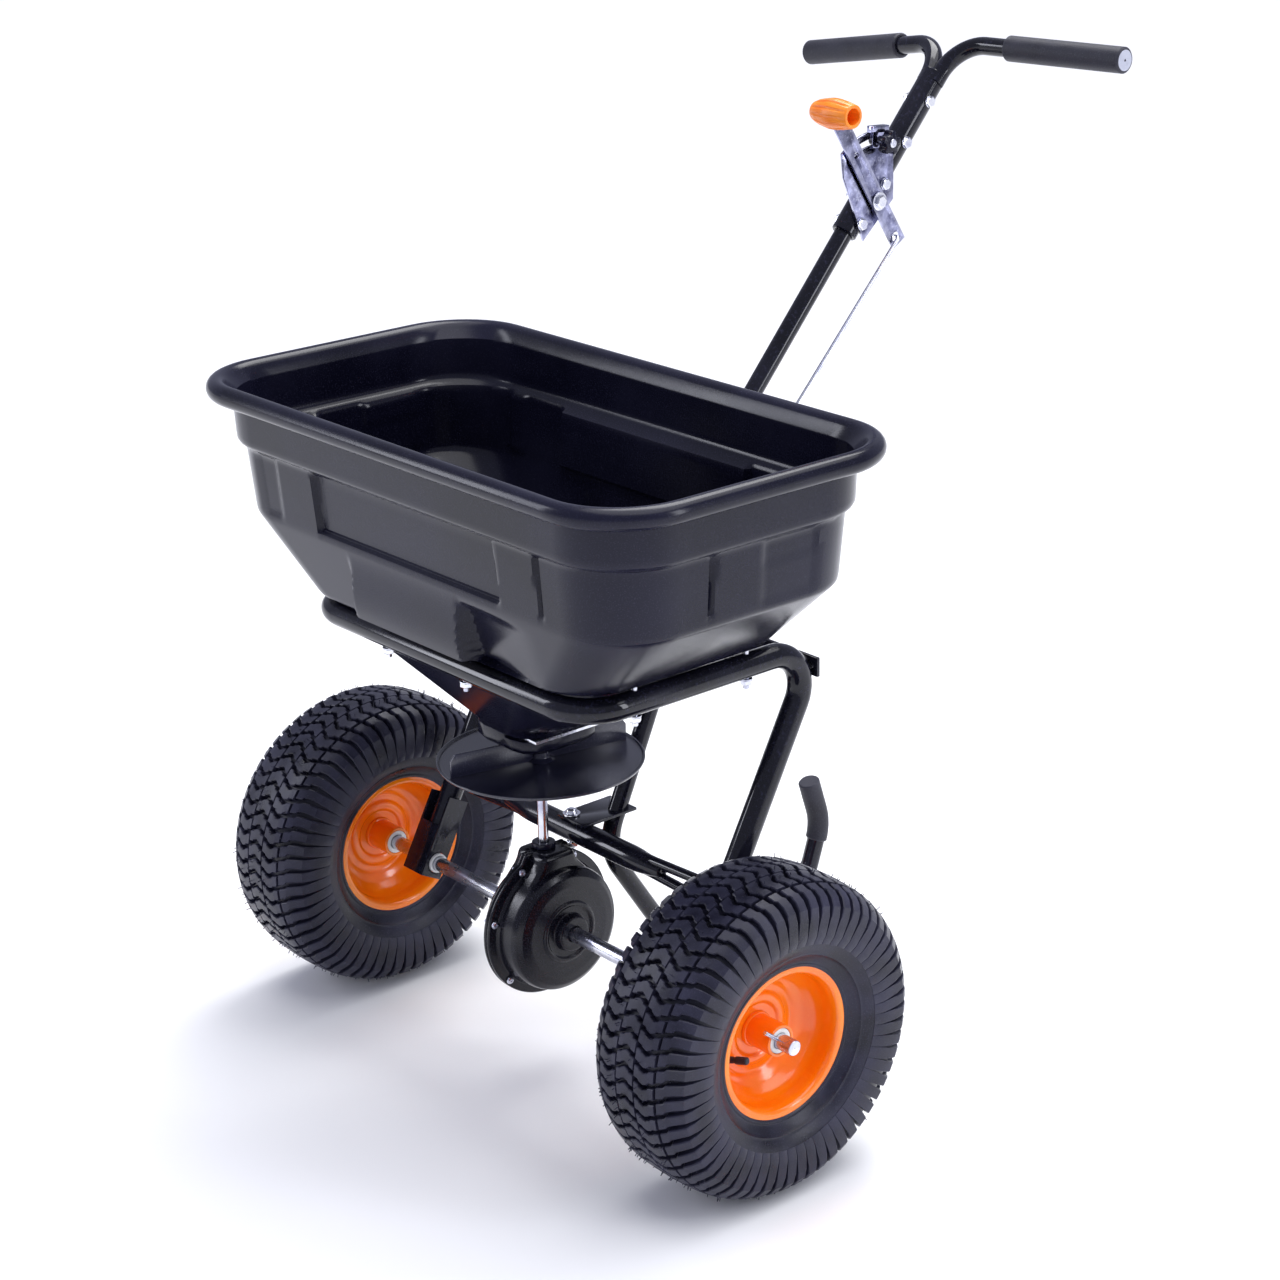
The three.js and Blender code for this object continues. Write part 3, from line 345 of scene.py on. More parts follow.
def loose(name, vertices, faces):
    """New object from points and faces, welded, its faces out."""
    mesh = bpy.data.meshes.new(name)
    mesh.from_pydata([tuple(v) for v in vertices], [], faces)
    solid = bmesh.new()
    solid.from_mesh(mesh)
    bmesh.ops.remove_doubles(solid, verts=solid.verts, dist=2e-6)
    bmesh.ops.recalc_face_normals(solid, faces=solid.faces)
    solid.to_mesh(mesh)
    solid.free()
    obj = bpy.data.objects.new(name, mesh)
    bpy.context.scene.collection.objects.link(obj)
    return obj


def settle(obj):
    """Makes an object's modifiers part of its mesh."""
    graph = bpy.context.evaluated_depsgraph_get()
    mesh = bpy.data.meshes.new_from_object(obj.evaluated_get(graph))
    obj.modifiers.clear()
    obj.data = mesh


def bevelled(obj, width, segments=2, angle=35):
    """Rounds an object's sharp edges over."""
    modifier = obj.modifiers.new("round", "BEVEL")
    modifier.width = width * MM
    modifier.segments = segments
    modifier.limit_method = "ANGLE"
    modifier.angle_limit = math.radians(angle)
    modifier.use_clamp_overlap = True
    settle(obj)
    return obj


def combined(obj, other, operation):
    """Joins or cuts an object with another, which is used up."""
    modifier = obj.modifiers.new("combine", "BOOLEAN")
    modifier.operation = operation
    modifier.solver = "MANIFOLD"
    modifier.object = other
    settle(obj)
    bpy.data.objects.remove(other)
    return obj


def cut(obj, shape):
    """Cuts points and faces out of an object."""
    return combined(obj, loose("cutter", *shape), "DIFFERENCE")


def placed(obj, slot, nodes=(), body=None, material=None, smooth=32):
    """Finishes a piece: shading, material, the CAD nodes it stands for, and the body it rides."""
    mesh = obj.data
    mesh.materials.clear()
    mesh.materials.append(material or FINISHES[slot])
    mesh.shade_smooth()
    mesh.set_sharp_from_angle(angle=math.radians(smooth))
    if nodes:
        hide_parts(*nodes)
    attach(obj, body or body_of_node(nodes[0]))
    return obj


def skin(rings, closed=False):
    """Points and faces over a stack of equal rings: a closed loop of them, or a stack with capped ends."""
    count = len(rings[0])
    points = [point for ring in rings for point in ring]
    faces = []
    for i in range(len(rings) if closed else len(rings) - 1):
        here, there = i * count, ((i + 1) % len(rings)) * count
        for k in range(count):
            after = (k + 1) % count
            faces.append((here + k, here + after, there + after, there + k))
    if not closed:
        faces.append(tuple(range(count)))
        faces.append(tuple(range((len(rings) - 1) * count, len(rings) * count)))
    return points, faces


def merged(*parts):
    """Several (points, faces) pairs as one."""
    points, faces = [], []
    for part_points, part_faces in parts:
        start = len(points)
        points.extend(part_points)
        faces.extend(tuple(i + start for i in face) for face in part_faces)
    return points, faces


def softened(profile, radius, steps=3, closed=True):
    """A 2-D outline with its corners rounded over."""
    result = []
    count = len(profile)
    for i, corner in enumerate(profile):
        here = Vector(corner)
        if not closed and i in (0, count - 1):
            result.append(tuple(here))
            continue
        before, after = Vector(profile[i - 1]), Vector(profile[(i + 1) % count])
        back, ahead = before - here, after - here
        reach = min(radius, back.length * 0.45, ahead.length * 0.45)
        start, end = here + back.normalized() * reach, here + ahead.normalized() * reach
        for k in range(steps + 1):
            t = k / steps
            point = start * (1 - t) ** 2 + here * 2 * t * (1 - t) + end * t ** 2
            result.append((max(point.x, 0.0), point.y))
    return result


AXES = {"X": (Vector((1, 0, 0)), Vector((0, 1, 0)), Vector((0, 0, 1))),
        "Y": (Vector((0, 1, 0)), Vector((0, 0, 1)), Vector((1, 0, 0))),
        "Z": (Vector((0, 0, 1)), Vector((1, 0, 0)), Vector((0, 1, 0)))}


def turned(profile, origin, axis="X", segments=96, start=0.0):
    """Closed [radius, distance] outline in millimetres, turned about an axis through a place in the frame."""
    along, first, second = AXES[axis]
    rings = []
    for radius, distance in profile:
        ring = []
        for k in range(segments):
            angle = start + 2 * math.pi * k / segments
            spoke = first * math.cos(angle) + second * math.sin(angle)
            ring.append(origin + (along * distance + spoke * max(radius, 0.0)) * MM)
        rings.append(ring)
    return skin(rings, closed=True)


def pressed(path, thickness):
    """Closed outline of a sheet that follows a path of [radius, distance] points."""
    left, right = [], []
    for i, point in enumerate(path):
        before, after = Vector(path[max(i - 1, 0)]), Vector(path[min(i + 1, len(path) - 1)])
        run = (after - before).normalized()
        side = Vector((-run.y, run.x)) * thickness / 2
        left.append(tuple(Vector(point) + side))
        right.append(tuple(Vector(point) - side))
    return left + right[::-1]


def bent_line(corners, radii, steps=14):
    """Centre line with straight runs between its corners and round bends in them."""
    points = [corners[0].copy()]
    for i, radius in enumerate(radii, start=1):
        back = (corners[i - 1] - corners[i]).normalized()
        ahead = (corners[i + 1] - corners[i]).normalized()
        half = back.angle(ahead) / 2
        inward = (back + ahead).normalized()
        centre = corners[i] + inward * (radius * MM / math.sin(half))
        sideways = (ahead + inward * -ahead.dot(inward)).normalized()
        sweep = math.pi - 2 * half
        for k in range(steps + 1):
            angle = sweep * (k / steps - 0.5)
            points.append(centre + (-inward * math.cos(angle) + sideways * math.sin(angle)) * radius * MM)
    points.append(corners[-1].copy())
    return points


def swept(line, outer, inner=0.0, sides=32, edge=0.6):
    """Round tube, or a solid bar, along a line, its end edges rounded over."""
    frames = []
    normal = None
    for i, point in enumerate(line):
        before, after = line[max(i - 1, 0)], line[min(i + 1, len(line) - 1)]
        tangent = ((point - before).normalized() + (after - point).normalized()).normalized()
        normal = tangent.orthogonal() if normal is None else normal
        normal = (normal - tangent * normal.dot(tangent)).normalized()
        frames.append((point, tangent, normal, tangent.cross(normal)))

    def ring(index, radius, shift=0.0):
        point, tangent, first, second = frames[index]
        middle = point + tangent * shift * MM
        turns = [2 * math.pi * k / sides for k in range(sides)]
        return [middle + (first * math.cos(a) + second * math.sin(a)) * radius * MM for a in turns]

    last = len(line) - 1
    outside = [ring(0, outer - edge), ring(0, outer, edge)]
    outside += [ring(i, outer) for i in range(1, last)]
    outside += [ring(last, outer, -edge), ring(last, outer - edge)]
    if inner <= 0:
        return skin(outside)
    inside = [ring(i, inner) for i in range(last, -1, -1)]
    return skin(outside + inside, closed=True)


def box(low, high):
    """Box between two corners in millimetres."""
    (x0, y0, z0), (x1, y1, z1) = low, high
    return skin([[at(x0, y0, z), at(x1, y0, z), at(x1, y1, z), at(x0, y1, z)] for z in (z0, z1)])


def sheet(outline, x0, x1):
    """Flat outline of [y, z] points made into a plate between two x planes."""
    return skin([[at(x, y, z) for y, z in outline] for x in (x0, x1)])


def refined(node, slot, width=0.5, material=None, segments=2):
    """A small CAD piece with its flat facets merged and its edges rounded over."""
    source = frame["nodes"][node].data
    points, faces = [v.co for v in source.vertices], [tuple(p.vertices) for p in source.polygons]
    obj = loose(f"{node}_piece", points, faces)
    solid = bmesh.new()
    solid.from_mesh(obj.data)
    bmesh.ops.remove_doubles(solid, verts=solid.verts, dist=2e-5)
    bmesh.ops.dissolve_limit(solid, angle_limit=math.radians(1), verts=solid.verts, edges=solid.edges)
    solid.to_mesh(obj.data)
    solid.free()
    bevelled(obj, width, segments)
    return placed(obj, slot, [node], material=material)


def piece(name, shape, slot, nodes=(), **options):
    """A piece straight from points and faces."""
    return placed(loose(name, *shape), slot, nodes, **options)


# -------- wheels
def smooth_line(points, steps):
    """Catmull-Rom line through points."""
    result = []
    last = len(points) - 1
    for i in range(last):
        p0, p1 = Vector(points[max(i - 1, 0)]), Vector(points[i])
        p2, p3 = Vector(points[i + 1]), Vector(points[min(i + 2, last)])
        for k in range(steps):
            t = k / steps
            result.append(0.5 * (2 * p1 + (p2 - p0) * t + (2 * p0 - 5 * p1 + 4 * p2 - p3) * t * t
                                 + (3 * p1 - p0 - 3 * p2 + p3) * t ** 3))
    result.append(Vector(points[-1]))
    return result


CARCASS_LINE = smooth_line(CARCASS, 6)
CARCASS_RUN = [0.0]
for _before, _after in zip(CARCASS_LINE, CARCASS_LINE[1:]):
    CARCASS_RUN.append(CARCASS_RUN[-1] + (_after - _before).length)


def on_carcass(distance):
    """Point and outward normal of the carcass, a distance along it from the crown, either way."""
    side = -1 if distance < 0 else 1
    run = min(abs(distance), CARCASS_RUN[-1] - 0.01)
    i = max(k for k, reached in enumerate(CARCASS_RUN[:-1]) if reached <= run)
    share = (run - CARCASS_RUN[i]) / (CARCASS_RUN[i + 1] - CARCASS_RUN[i])
    point = CARCASS_LINE[i].lerp(CARCASS_LINE[i + 1], share)
    forward = (CARCASS_LINE[i + 1] - CARCASS_LINE[i]).normalized()
    normal = Vector((forward.y, -forward.x))
    if normal.x < 0 and run < 60:
        normal = -normal
    return Vector((point.x, side * point.y)), Vector((normal.x, side * normal.y))


def tread_block(stations):
    """Raised block along the carcass; a station is (distance, first turn, second turn, height)."""
    rings = []
    for distance, first, second, height in stations:
        point, normal = on_carcass(distance)
        chamfer = min(0.9, height * 0.5)
        inset = chamfer / point.x
        ring = []
        for turn, lift in ((first, -1.0), (first, height - chamfer), (first + inset, height),
                           (second - inset, height), (second, height - chamfer), (second, -1.0)):
            place = point + normal * lift
            ring.append((place.x, max(-TYRE_HALF, min(TYRE_HALF, place.y)), turn))
        rings.append(ring)
    return rings


def tread_rings():
    """All the tread's blocks, each as rings of (radius, across, turn)."""
    step = 2 * math.pi / TREAD_PITCHES
    blocks = []
    for k in range(TREAD_PITCHES):
        turn = k * step
        for row, centre in enumerate(CHEVRON_ROWS):
            base = turn + (0.5 * step if row == 1 else 0)
            flip = 1 if row == 1 else -1
            half, width, lead = 12.2, 0.70 * step, 0.30 * step
            stations = []
            for across, bend, height in CHEVRON:
                middle = base + flip * lead * (bend - 0.4)
                stations.append((centre + across * half, middle - width / 2, middle + width / 2,
                                 TREAD_HEIGHT * height))
            blocks.append(tread_block(stations))
        for side in (-1, 1):
            base = turn + (0.25 if side > 0 else 0.6) * step
            wide = 0.68 * step
            stations = [(side * 38.5, base - wide / 2, base + wide / 2, TREAD_HEIGHT * 0.5)]
            for reach, lead, width, height in SHOULDER_BLADE:
                middle = base + lead * step
                stations.append((side * reach, middle - width * step / 2, middle + width * step / 2,
                                 TREAD_HEIGHT * height))
            blocks.append(tread_block(stations))
    return blocks


def hairs(rng):
    """Moulding hairs on the tread: root (distance, turn), length and lean."""
    roots = []
    for _ in range(HAIR_COUNT):
        side = rng.choice((-1, 1))
        roots.append((side * rng.uniform(2, 56), rng.uniform(0, 2 * math.pi), rng.uniform(2.6, 5.4),
                      rng.uniform(-0.5, 0.5)))
    return roots


def tyre(label, side):
    """Tyre with a raised turf tread, shoulder blades, side ribs and moulding hairs."""
    rng = random.Random(7 if side > 0 else 11)
    centre = Vector((side * TRACK_HALF * MM, AXLE_Y, AXLE_Z * MM))

    def spun(radius, across, turn):
        return centre + Vector((across, radius * math.sin(turn), radius * math.cos(turn))) * MM

    outside = [tuple(p) for p in CARCASS_LINE]
    ribbed = []
    for radius, across in outside:
        lift = sum(0.9 * math.exp(-((radius - ridge) / 0.8) ** 2) for ridge in SIDE_RIBS)
        ribbed.append((radius, across + lift))
    half = ribbed + TYRE_LINING
    profile = half + [(radius, -across) for radius, across in reversed(half[1:-1])]
    segments = 180
    rings = [[spun(radius, across, 2 * math.pi * k / segments) for k in range(segments)]
             for radius, across in profile]
    parts = [skin(rings, closed=True)]
    for block in tread_rings():
        parts.append(skin([[spun(*point) for point in ring] for ring in block]))
    for distance, turn, length, lean in hairs(rng):
        point, normal = on_carcass(distance)
        root = point + normal * (TREAD_HEIGHT * 0.9 if abs(distance) < 40 else 3.0)
        tip = root + normal * length
        if tip.x > HAIR_TOP:
            continue
        foot = spun(root.x, root.y, turn)
        peak = spun(tip.x, tip.y, turn + lean / 40)
        if peak.z < HAIR_FLOOR * MM or peak.x * side > (TRACK_HALF + TYRE_HALF) * MM:
            continue
        parts.append(swept([foot, foot.lerp(peak, 0.6), peak], HAIR_R, sides=4, edge=0.15))
    return piece(f"{label}_tyre_rubber", merged(*parts), "tyre", [f"{label}_tyre"], smooth=24)




def rim_profile(side):
    """Outline of a pressed rim half, its open side at the side given."""
    path = softened(RIM_PATH, 3.2, 5, closed=False)
    return [(radius, side * distance) for radius, distance in pressed(path, 2.2)]


def hub_tube(centre):
    """Welded hub tube, its ends rounded, with a bead of weld on each face of the pressing."""
    ends = [(HUB_BORE_R, -HUB_HALF), (HUB_R, -HUB_HALF), (HUB_R, HUB_HALF), (HUB_BORE_R, HUB_HALF)]
    tube = turned(softened(ends, 1.0), centre, segments=64)
    parts = [tube]
    for x in (-4.6, 4.4):
        bead = []
        for k in range(12):
            angle = 2 * math.pi * k / 12
            rise = -0.5 if math.sin(angle) < 0 else 2.0 * math.sin(angle)
            bead.append((HUB_R + rise, x + 2.4 * math.cos(angle)))
        parts.append(turned(bead, centre, segments=64))
    return parts


for label, side in (("right", 1), ("left", -1)):
    middle = Vector((side * TRACK_HALF * MM, AXLE_Y, AXLE_Z * MM))
    tyre(label, side)
    piece(f"{label}_rim_outer_pressing", turned(rim_profile(side), middle, segments=128), "orange_paint",
          [f"{label}_rim_outer_half"])
    pressing = turned(rim_profile(-side), middle, segments=128)
    piece(f"{label}_rim_inner_pressing", merged(pressing, *hub_tube(middle)), "orange_paint",
          [f"{label}_rim_inner_half"])
    bush_end = HUB_HALF - 0.6
    bush = [(AXLE_R + 0.4, -bush_end), (HUB_BORE_R - 0.3, -bush_end), (HUB_BORE_R - 0.3, bush_end),
            (AXLE_R + 0.4, bush_end)]
    piece(f"{label}_hub_bushing", turned(softened(bush, 0.6), middle, segments=64), "white_plastic",
          [f"{label}_hub_bush"])
    stem_root = at(side * (TRACK_HALF + 20), -53, TYRE_R - 8)
    stem = [(0, 0), (3.4, 0), (3.4, 7), (3.0, 8), (3.0, 10), (3.9, 10.6), (3.9, 22.6), (3.2, 23.8), (0, 23.8)]
    points, faces = turned([(radius, along) for radius, along in softened(stem, 0.5)], stem_root, segments=32)
    stem_line = Vector((side * STEM_AIM[0], STEM_AIM[1], STEM_AIM[2]))
    aim = Vector((1, 0, 0)).rotation_difference(stem_line).to_matrix()
    points = [stem_root + aim @ (point - stem_root) for point in points]
    piece(f"{label}_valve", (points, faces), "grip_rubber", [f"{label}_valve_stem"])

# -------- axle, shaft and pins
bar = [(0, -AXLE_HALF), (AXLE_R, -AXLE_HALF), (AXLE_R, AXLE_HALF), (0, AXLE_HALF)]
piece("axle_bar", turned(softened(bar, 1.6), at(0, 0, AXLE_Z), segments=64), "zinc", ["axle"])
pin_places = (("drive_pin", TRACK_HALF + HUB_HALF), ("wheel_keeper_pin", -(TRACK_HALF + HUB_HALF + 2.8)))
for node, place in pin_places:
    half = 26 if place > 0 else 18
    lean = Vector((0, -math.sin(PIN_TILT), math.cos(PIN_TILT))) * half * MM
    middle = at(place, 0, AXLE_Z)
    line = [middle - lean, middle - lean * 0.98, middle, middle + lean * 0.98, middle + lean]
    piece(f"{node}_rod", swept(line, 2.45, sides=24, edge=0.7), "zinc", [node])

shaft = [(0, 201), (SHAFT_R, 201), (SHAFT_R, 428), (0, 428)]
piece("impeller_shaft_bar", turned(softened(shaft, 1.2), at(SHAFT_X, 0, 0), "Z", 48), "zinc",
      ["impeller_shaft"])
cotter = [(0, -13), (1.5, -13), (1.5, 13), (0, 13)]
piece("impeller_cotter_rod", turned(softened(cotter, 0.5), at(SHAFT_X, 0, IMPELLER_Z + 14), segments=24),
      "zinc", ["impeller_cotter"])

# -------- impeller
plate = [(SHAFT_R + 0.4, 0), (IMPELLER_R - 5, 0), (IMPELLER_R - 1.2, 1.4), (IMPELLER_R, 3.4), (IMPELLER_R, 5),
         (IMPELLER_R - 2, 5), (IMPELLER_R - 2.6, 3.6), (IMPELLER_R - 5, 2.6), (15, 2.6), (9.4, 6), (8.6, 20),
         (SHAFT_R + 0.4, 20)]
parts = [turned(softened(plate, 1.0), at(SHAFT_X, 0, IMPELLER_Z), "Z", 144)]
vane_top = VANE_TOP - IMPELLER_Z
for turn in VANE_TURNS:
    outline = [(8.0, 1.5), (IMPELLER_R - 7, 1.5), (IMPELLER_R - 7, vane_top - 7), (IMPELLER_R - 12, vane_top),
               (20, vane_top), (8.0, vane_top - 8)]
    rotation = Matrix.Rotation(turn, 3, "Z")
    parts.append(skin([[at(SHAFT_X, 0, IMPELLER_Z) + rotation @ (Vector((x, y, z)) * MM) for x, z in outline]
                       for y in (-1.4, 1.4)]))
impeller = bevelled(loose("impeller_disc", *merged(*parts)), 0.4)
placed(impeller, "black_plastic", ["impeller"], material=IMPELLER_FINISH, smooth=28)

# -------- gearbox
box_middle = at(SHAFT_X, 0, AXLE_Z)
for label, side, outline, hollow in (("right", 1, BOX_PROFILE_RIGHT, (0.2, 28, 35)),
                                     ("left", -1, BOX_PROFILE_LEFT, (-0.2, -16.5, -24))):
    near, straight, deep = hollow
    shell = loose(f"gearbox_{label}_shell", *turned(softened(outline, 1.6, 4), box_middle, segments=144))
    reach = SHAFT_X + side * NECK_DEPTH[label]
    hood = sheet(HOOD, *sorted((SHAFT_X + near, reach)))
    combined(shell, bevelled(loose("hood", *hood), 6, 5, 25), "UNION")
    flange = sheet(FLANGE, *sorted((SHAFT_X + near, SHAFT_X + side * 4.8)))
    combined(shell, bevelled(loose("flange", *flange), 1.6, 3, 25), "UNION")
    inside = [(0, near - side), (66, near - side), (66, straight), (56, deep), (0, deep)]
    cut(shell, turned(inside, box_middle, segments=96))
    span = sorted((SHAFT_X + near - side, SHAFT_X + side * 16))
    cut(shell, box((span[0], -16, AXLE_Z + 40), (span[1], 16, 246)))
    bore = [(0, 60), (9.3, 60), (9.3, 100), (0, 100)]
    cut(shell, turned(bore, box_middle, "Z", 48))
    placed(shell, "black_plastic", [f"gearbox_{label}_half"], material=GEARBOX_FINISH, smooth=38)

for k, degrees in enumerate([*SCREW_ANGLES, *(-angle for angle in SCREW_ANGLES)]):
    angle = math.radians(degrees)
    middle = box_middle + Vector((0, SCREW_RING * math.sin(angle), SCREW_RING * math.cos(angle))) * MM
    piece(f"gearbox_screw_{k + 1}", turned(softened(SCREW_HEAD, 0.3), middle, segments=32), "zinc",
          body="frame")

neck_ring = [(SHAFT_R + 0.4, -4), (8.8, -4), (8.8, 0.4), (12.4, 0.4), (12.4, 5.8), (SHAFT_R + 0.4, 5.8)]
piece("neck_ring", turned(softened(neck_ring, 0.8), at(SHAFT_X, 0, 250), "Z", 48), "black_plastic",
      ["neck_bush"])
for node, slot in (("crown_gear", "black_plastic"), ("crown_gear_pin", "zinc"), ("pinion", "zinc")):
    refined(node, slot, 0.25, segments=1)

# -------- hopper
def ease(value, start, end):
    """Smooth rise from 0 at start to 1 at end."""
    share = min(max((value - start) / (end - start), 0.0), 1.0)
    return share * share * (3 - 2 * share)


def band(value, low, high, soft):
    """1 between two values, falling to 0 outside them."""
    return ease(value, low - soft, low + soft) * (1 - ease(value, high - soft, high + soft))


def groove(along, z):
    """Wedge groove, wide at its top, about its own middle."""
    width = 1.2 + 3.4 * ease(z, 598, 660)
    return 7.0 * max(0.0, 1 - abs(along) / width) ** 0.6 * band(z, 601, 659, 2) if abs(along) < width else 0.0


def long_wall(x, z):
    """How far the front or rear wall is pressed in at a place; below 0 it stands out."""
    wall = band(z, 597, 659, 3)
    depth = PANEL_DEPTH * band(x, *PANEL, 1.6) * wall
    depth += 2.4 * (1 - ease(x, POST_OUTER - 3, POST_OUTER + 3)) * wall
    depth += groove(x - GROOVE_X, z)
    low = ease(592 - z, 2, 70) * (1 - ease(516.5 - z, 0, 2.5))
    depth -= 15 * low * band(x, *BOSS, 2.5)
    scoop = ease(x, BOSS[1] - 1, BOSS[1] + 5) * (1 - ease(x, BOSS[1] + 14, NOTCH_END))
    depth += 9 * scoop * ease(584 - z, 0, 14) * (1 - ease(517 - z, 0, 3))
    return depth


def end_wall(y, z):
    """How far the end walls are pressed in at a place."""
    depth = groove(y - SIDE_GROOVE_Y, z)
    depth += 2.6 * ease(y, SIDE_STEP_Y - 2, SIDE_STEP_Y + 2) * band(z, 637, 659, 2)
    depth += 1.6 * ease(y, SIDE_STEP_Y - 2, SIDE_STEP_Y + 2) * band(z, 597, 637, 3)
    return depth


def hopper_ring(a, b, r, z, shift, pressed_at):
    """Outline of the hopper at one height, its walls pressed in where pressed_at stands."""
    flat_x, flat_y = a - r, b - r
    points = []

    def edge(start, end, count, inward, wall):
        for k in range(count):
            point = start.lerp(end, k / count)
            along = point.x if wall is long_wall else point.y
            points.append(point + inward * wall(along, pressed_at))

    def corner(centre, first):
        for k in range(CORNER_COLUMNS):
            angle = math.radians(first + 90 * k / CORNER_COLUMNS)
            points.append(centre + Vector((math.cos(angle), math.sin(angle))) * r)

    edge(Vector((-flat_x, -b)), Vector((flat_x, -b)), FRONT_COLUMNS, Vector((0, 1)), long_wall)
    corner(Vector((flat_x, -flat_y)), -90)
    edge(Vector((a, -flat_y)), Vector((a, flat_y)), SIDE_COLUMNS, Vector((-1, 0)), end_wall)
    corner(Vector((flat_x, flat_y)), 0)
    edge(Vector((flat_x, b)), Vector((-flat_x, b)), FRONT_COLUMNS, Vector((0, -1)), long_wall)
    corner(Vector((-flat_x, flat_y)), 90)
    edge(Vector((-a, flat_y)), Vector((-a, -flat_y)), SIDE_COLUMNS, Vector((1, 0)), end_wall)
    corner(Vector((-flat_x, -flat_y)), 180)
    return [at(point.x + shift, point.y + HOPPER_Y, z) for point in points]


def hopper_levels():
    """Outer levels from the outlet up, close together and eased where the wall turns."""
    dense = []
    for low, high in zip(HOPPER_LEVELS, HOPPER_LEVELS[1:]):
        reach = math.dist(low[:2] + low[3:4], high[:2] + high[3:4])
        steps = max(2, round(reach / 2.4))
        dense += [tuple(p + (q - p) * k / steps for p, q in zip(low, high)) for k in range(steps)]
    dense.append(HOPPER_LEVELS[-1])
    for _ in range(2):
        eased = [tuple((p + 2 * q + r) / 4 for p, q, r in zip(*three))
                 for three in zip(dense, dense[1:], dense[2:])]
        dense = [dense[0], *eased, dense[-1]]
    return dense[::2] + [dense[-1]]


levels = hopper_levels()
outer_rings = [hopper_ring(*level, level[3]) for level in levels]
roll_a, roll_b, roll_r, roll_z = HOPPER_ROLL
roll_rings = []
for k in range(19):
    angle = math.radians(-120 + 270 * k / 18)
    out, up = ROLL_R * math.cos(angle), ROLL_R * math.sin(angle)
    roll_rings.append(hopper_ring(roll_a + out, roll_b + out, roll_r + out, roll_z + up, 0, ABOVE_WALLS))
inner_rings = []
for a, b, r, z, shift in reversed(levels):
    thin = HOPPER_WALL
    inner_rings.append(hopper_ring(a - thin, b - thin, r - thin, z + thin, shift, z))
hopper = loose("hopper_shell", *skin(outer_rings + roll_rings + inner_rings))
cut(hopper, box((GATE_X - 11, -24, 380), (GATE_X + 11, -8, 410)))
shaft_hole = [(0, 370), (SHAFT_R + 2, 370), (SHAFT_R + 2, 406), (0, 406)]
cut(hopper, turned(shaft_hole, at(SHAFT_X, 0, 0), "Z", 32))
placed(hopper, "black_plastic", ["hopper"], smooth=34)
refined("gate_guide", "black_plastic", 0.8)
refined("gate", "zinc", 0.4)

# -------- fasteners
def fastener(name, origin, axis, parts, nodes, turn=0.2):
    """Bolt with its nut: (kind, radius, from, to) runs along an axis."""
    shapes = []
    for kind, radius, start, end in parts:
        lip = (end - start) * 0.18
        if kind == "hex":
            rim = radius / math.cos(math.pi / 6)
            outline = [(0, start), (radius * 0.93, start), (rim, start + lip), (rim, end - lip),
                       (radius * 0.93, end), (0, end)]
            shapes.append(turned(outline, origin, axis, 6, turn))
        elif kind == "dome":
            outline = [(0, start), (radius, start), (radius, start + lip), (radius * 0.8, end - lip),
                       (radius * 0.4, end), (0, end)]
            shapes.append(turned(softened(outline, 0.6), origin, axis, 32))
        else:
            outline = [(0, start), (radius, start), (radius, end), (0, end)]
            shapes.append(turned(softened(outline, 0.35), origin, axis, 32))
    return piece(name, merged(*shapes), "zinc", nodes, smooth=28)


bolt_places = [(-92, FRAME_FRONT), (38, FRAME_FRONT)]
bolt_places += [(side * FRAME_X, y) for y in (-62, 80) for side in (1, -1)]
for k, (x, y) in enumerate(bolt_places, start=1):
    fastener(f"hopper_bolt_{k}_set", at(x, y, 0), "Z",
             [("dome", 6.8, 518, 521.8), ("round", 3, 470.2, 519), ("round", 6.4, 479.6, 480.9),
              ("hex", 5.5, 474.2, 480)], [f"hopper_bolt_{k}"])

slope = math.atan(HANDLE_RISE)


def on_handle(down, x=0.0):
    """Place on the handle's axis, a distance down from the uppermost clamp bolt."""
    return at(x, FORK[0] - down * math.cos(slope), FORK[1] - down * math.sin(slope))


NUT = -SHELL_R - 0.3
for k, (down, face) in enumerate(zip(CLAMP_BOLTS, (SHELL_R, SHELL_R, PLATE_OUTER, PLATE_OUTER)), start=1):
    head = face + 0.3
    parts = [("hex", 5.4, head + 0.8, head + 4), ("round", 6.4, head, head + 1),
             ("round", 3, NUT - 7.8, head + 1), ("hex", 5.4, NUT - 4.9, NUT)]
    fastener(f"handle_bolt_{k}_set", on_handle(down), "X", parts, [f"handle_bolt_{k}"])
pivot = on_handle(PIVOT_DOWN)
lever_face = LEVER_X + 2.8
fastener("lever_pivot_set", pivot, "X",
         [("round", 9.8, lever_face, lever_face + 1.8), ("hex", 6.2, lever_face + 1.5, lever_face + 5.6),
          ("round", 4, NUT - 8.5, lever_face + 2), ("hex", 6.2, NUT - 4.9, NUT)], ["lever_pivot_bolt"])
rear_bolts = (("right_strap_bolt", FRAME_X, 470, 169, 24), ("left_strap_bolt", -FRAME_X, 470, 169, 24),
              ("pole_bolt", 0, 474, 204, 42))
for node, x, z, head, length in rear_bolts:
    fastener(f"{node}_set", at(x, 0, z), "Y",
             [("hex", 5.2, head + 0.2, head + 4), ("round", 3, head - length, head + 1)], [node])
crossbar_y = (CROSSBAR_Z - TYRE_R) / LEG_SLOPE
fastener("stand_plate_bolt_set", at(-19, crossbar_y, CROSSBAR_Z), "Z",
         [("round", 9.4, 16.6, 18.4), ("dome", 6.4, 18, 23.4), ("round", 4, -21.4, 18),
          ("hex", 6, -19.9, -13.4)], ["stand_plate_bolt"])

# -------- tube frame
def leg_y(z):
    """Where a leg's axis stands behind the axle at a height."""
    return (z - TYRE_R) / LEG_SLOPE


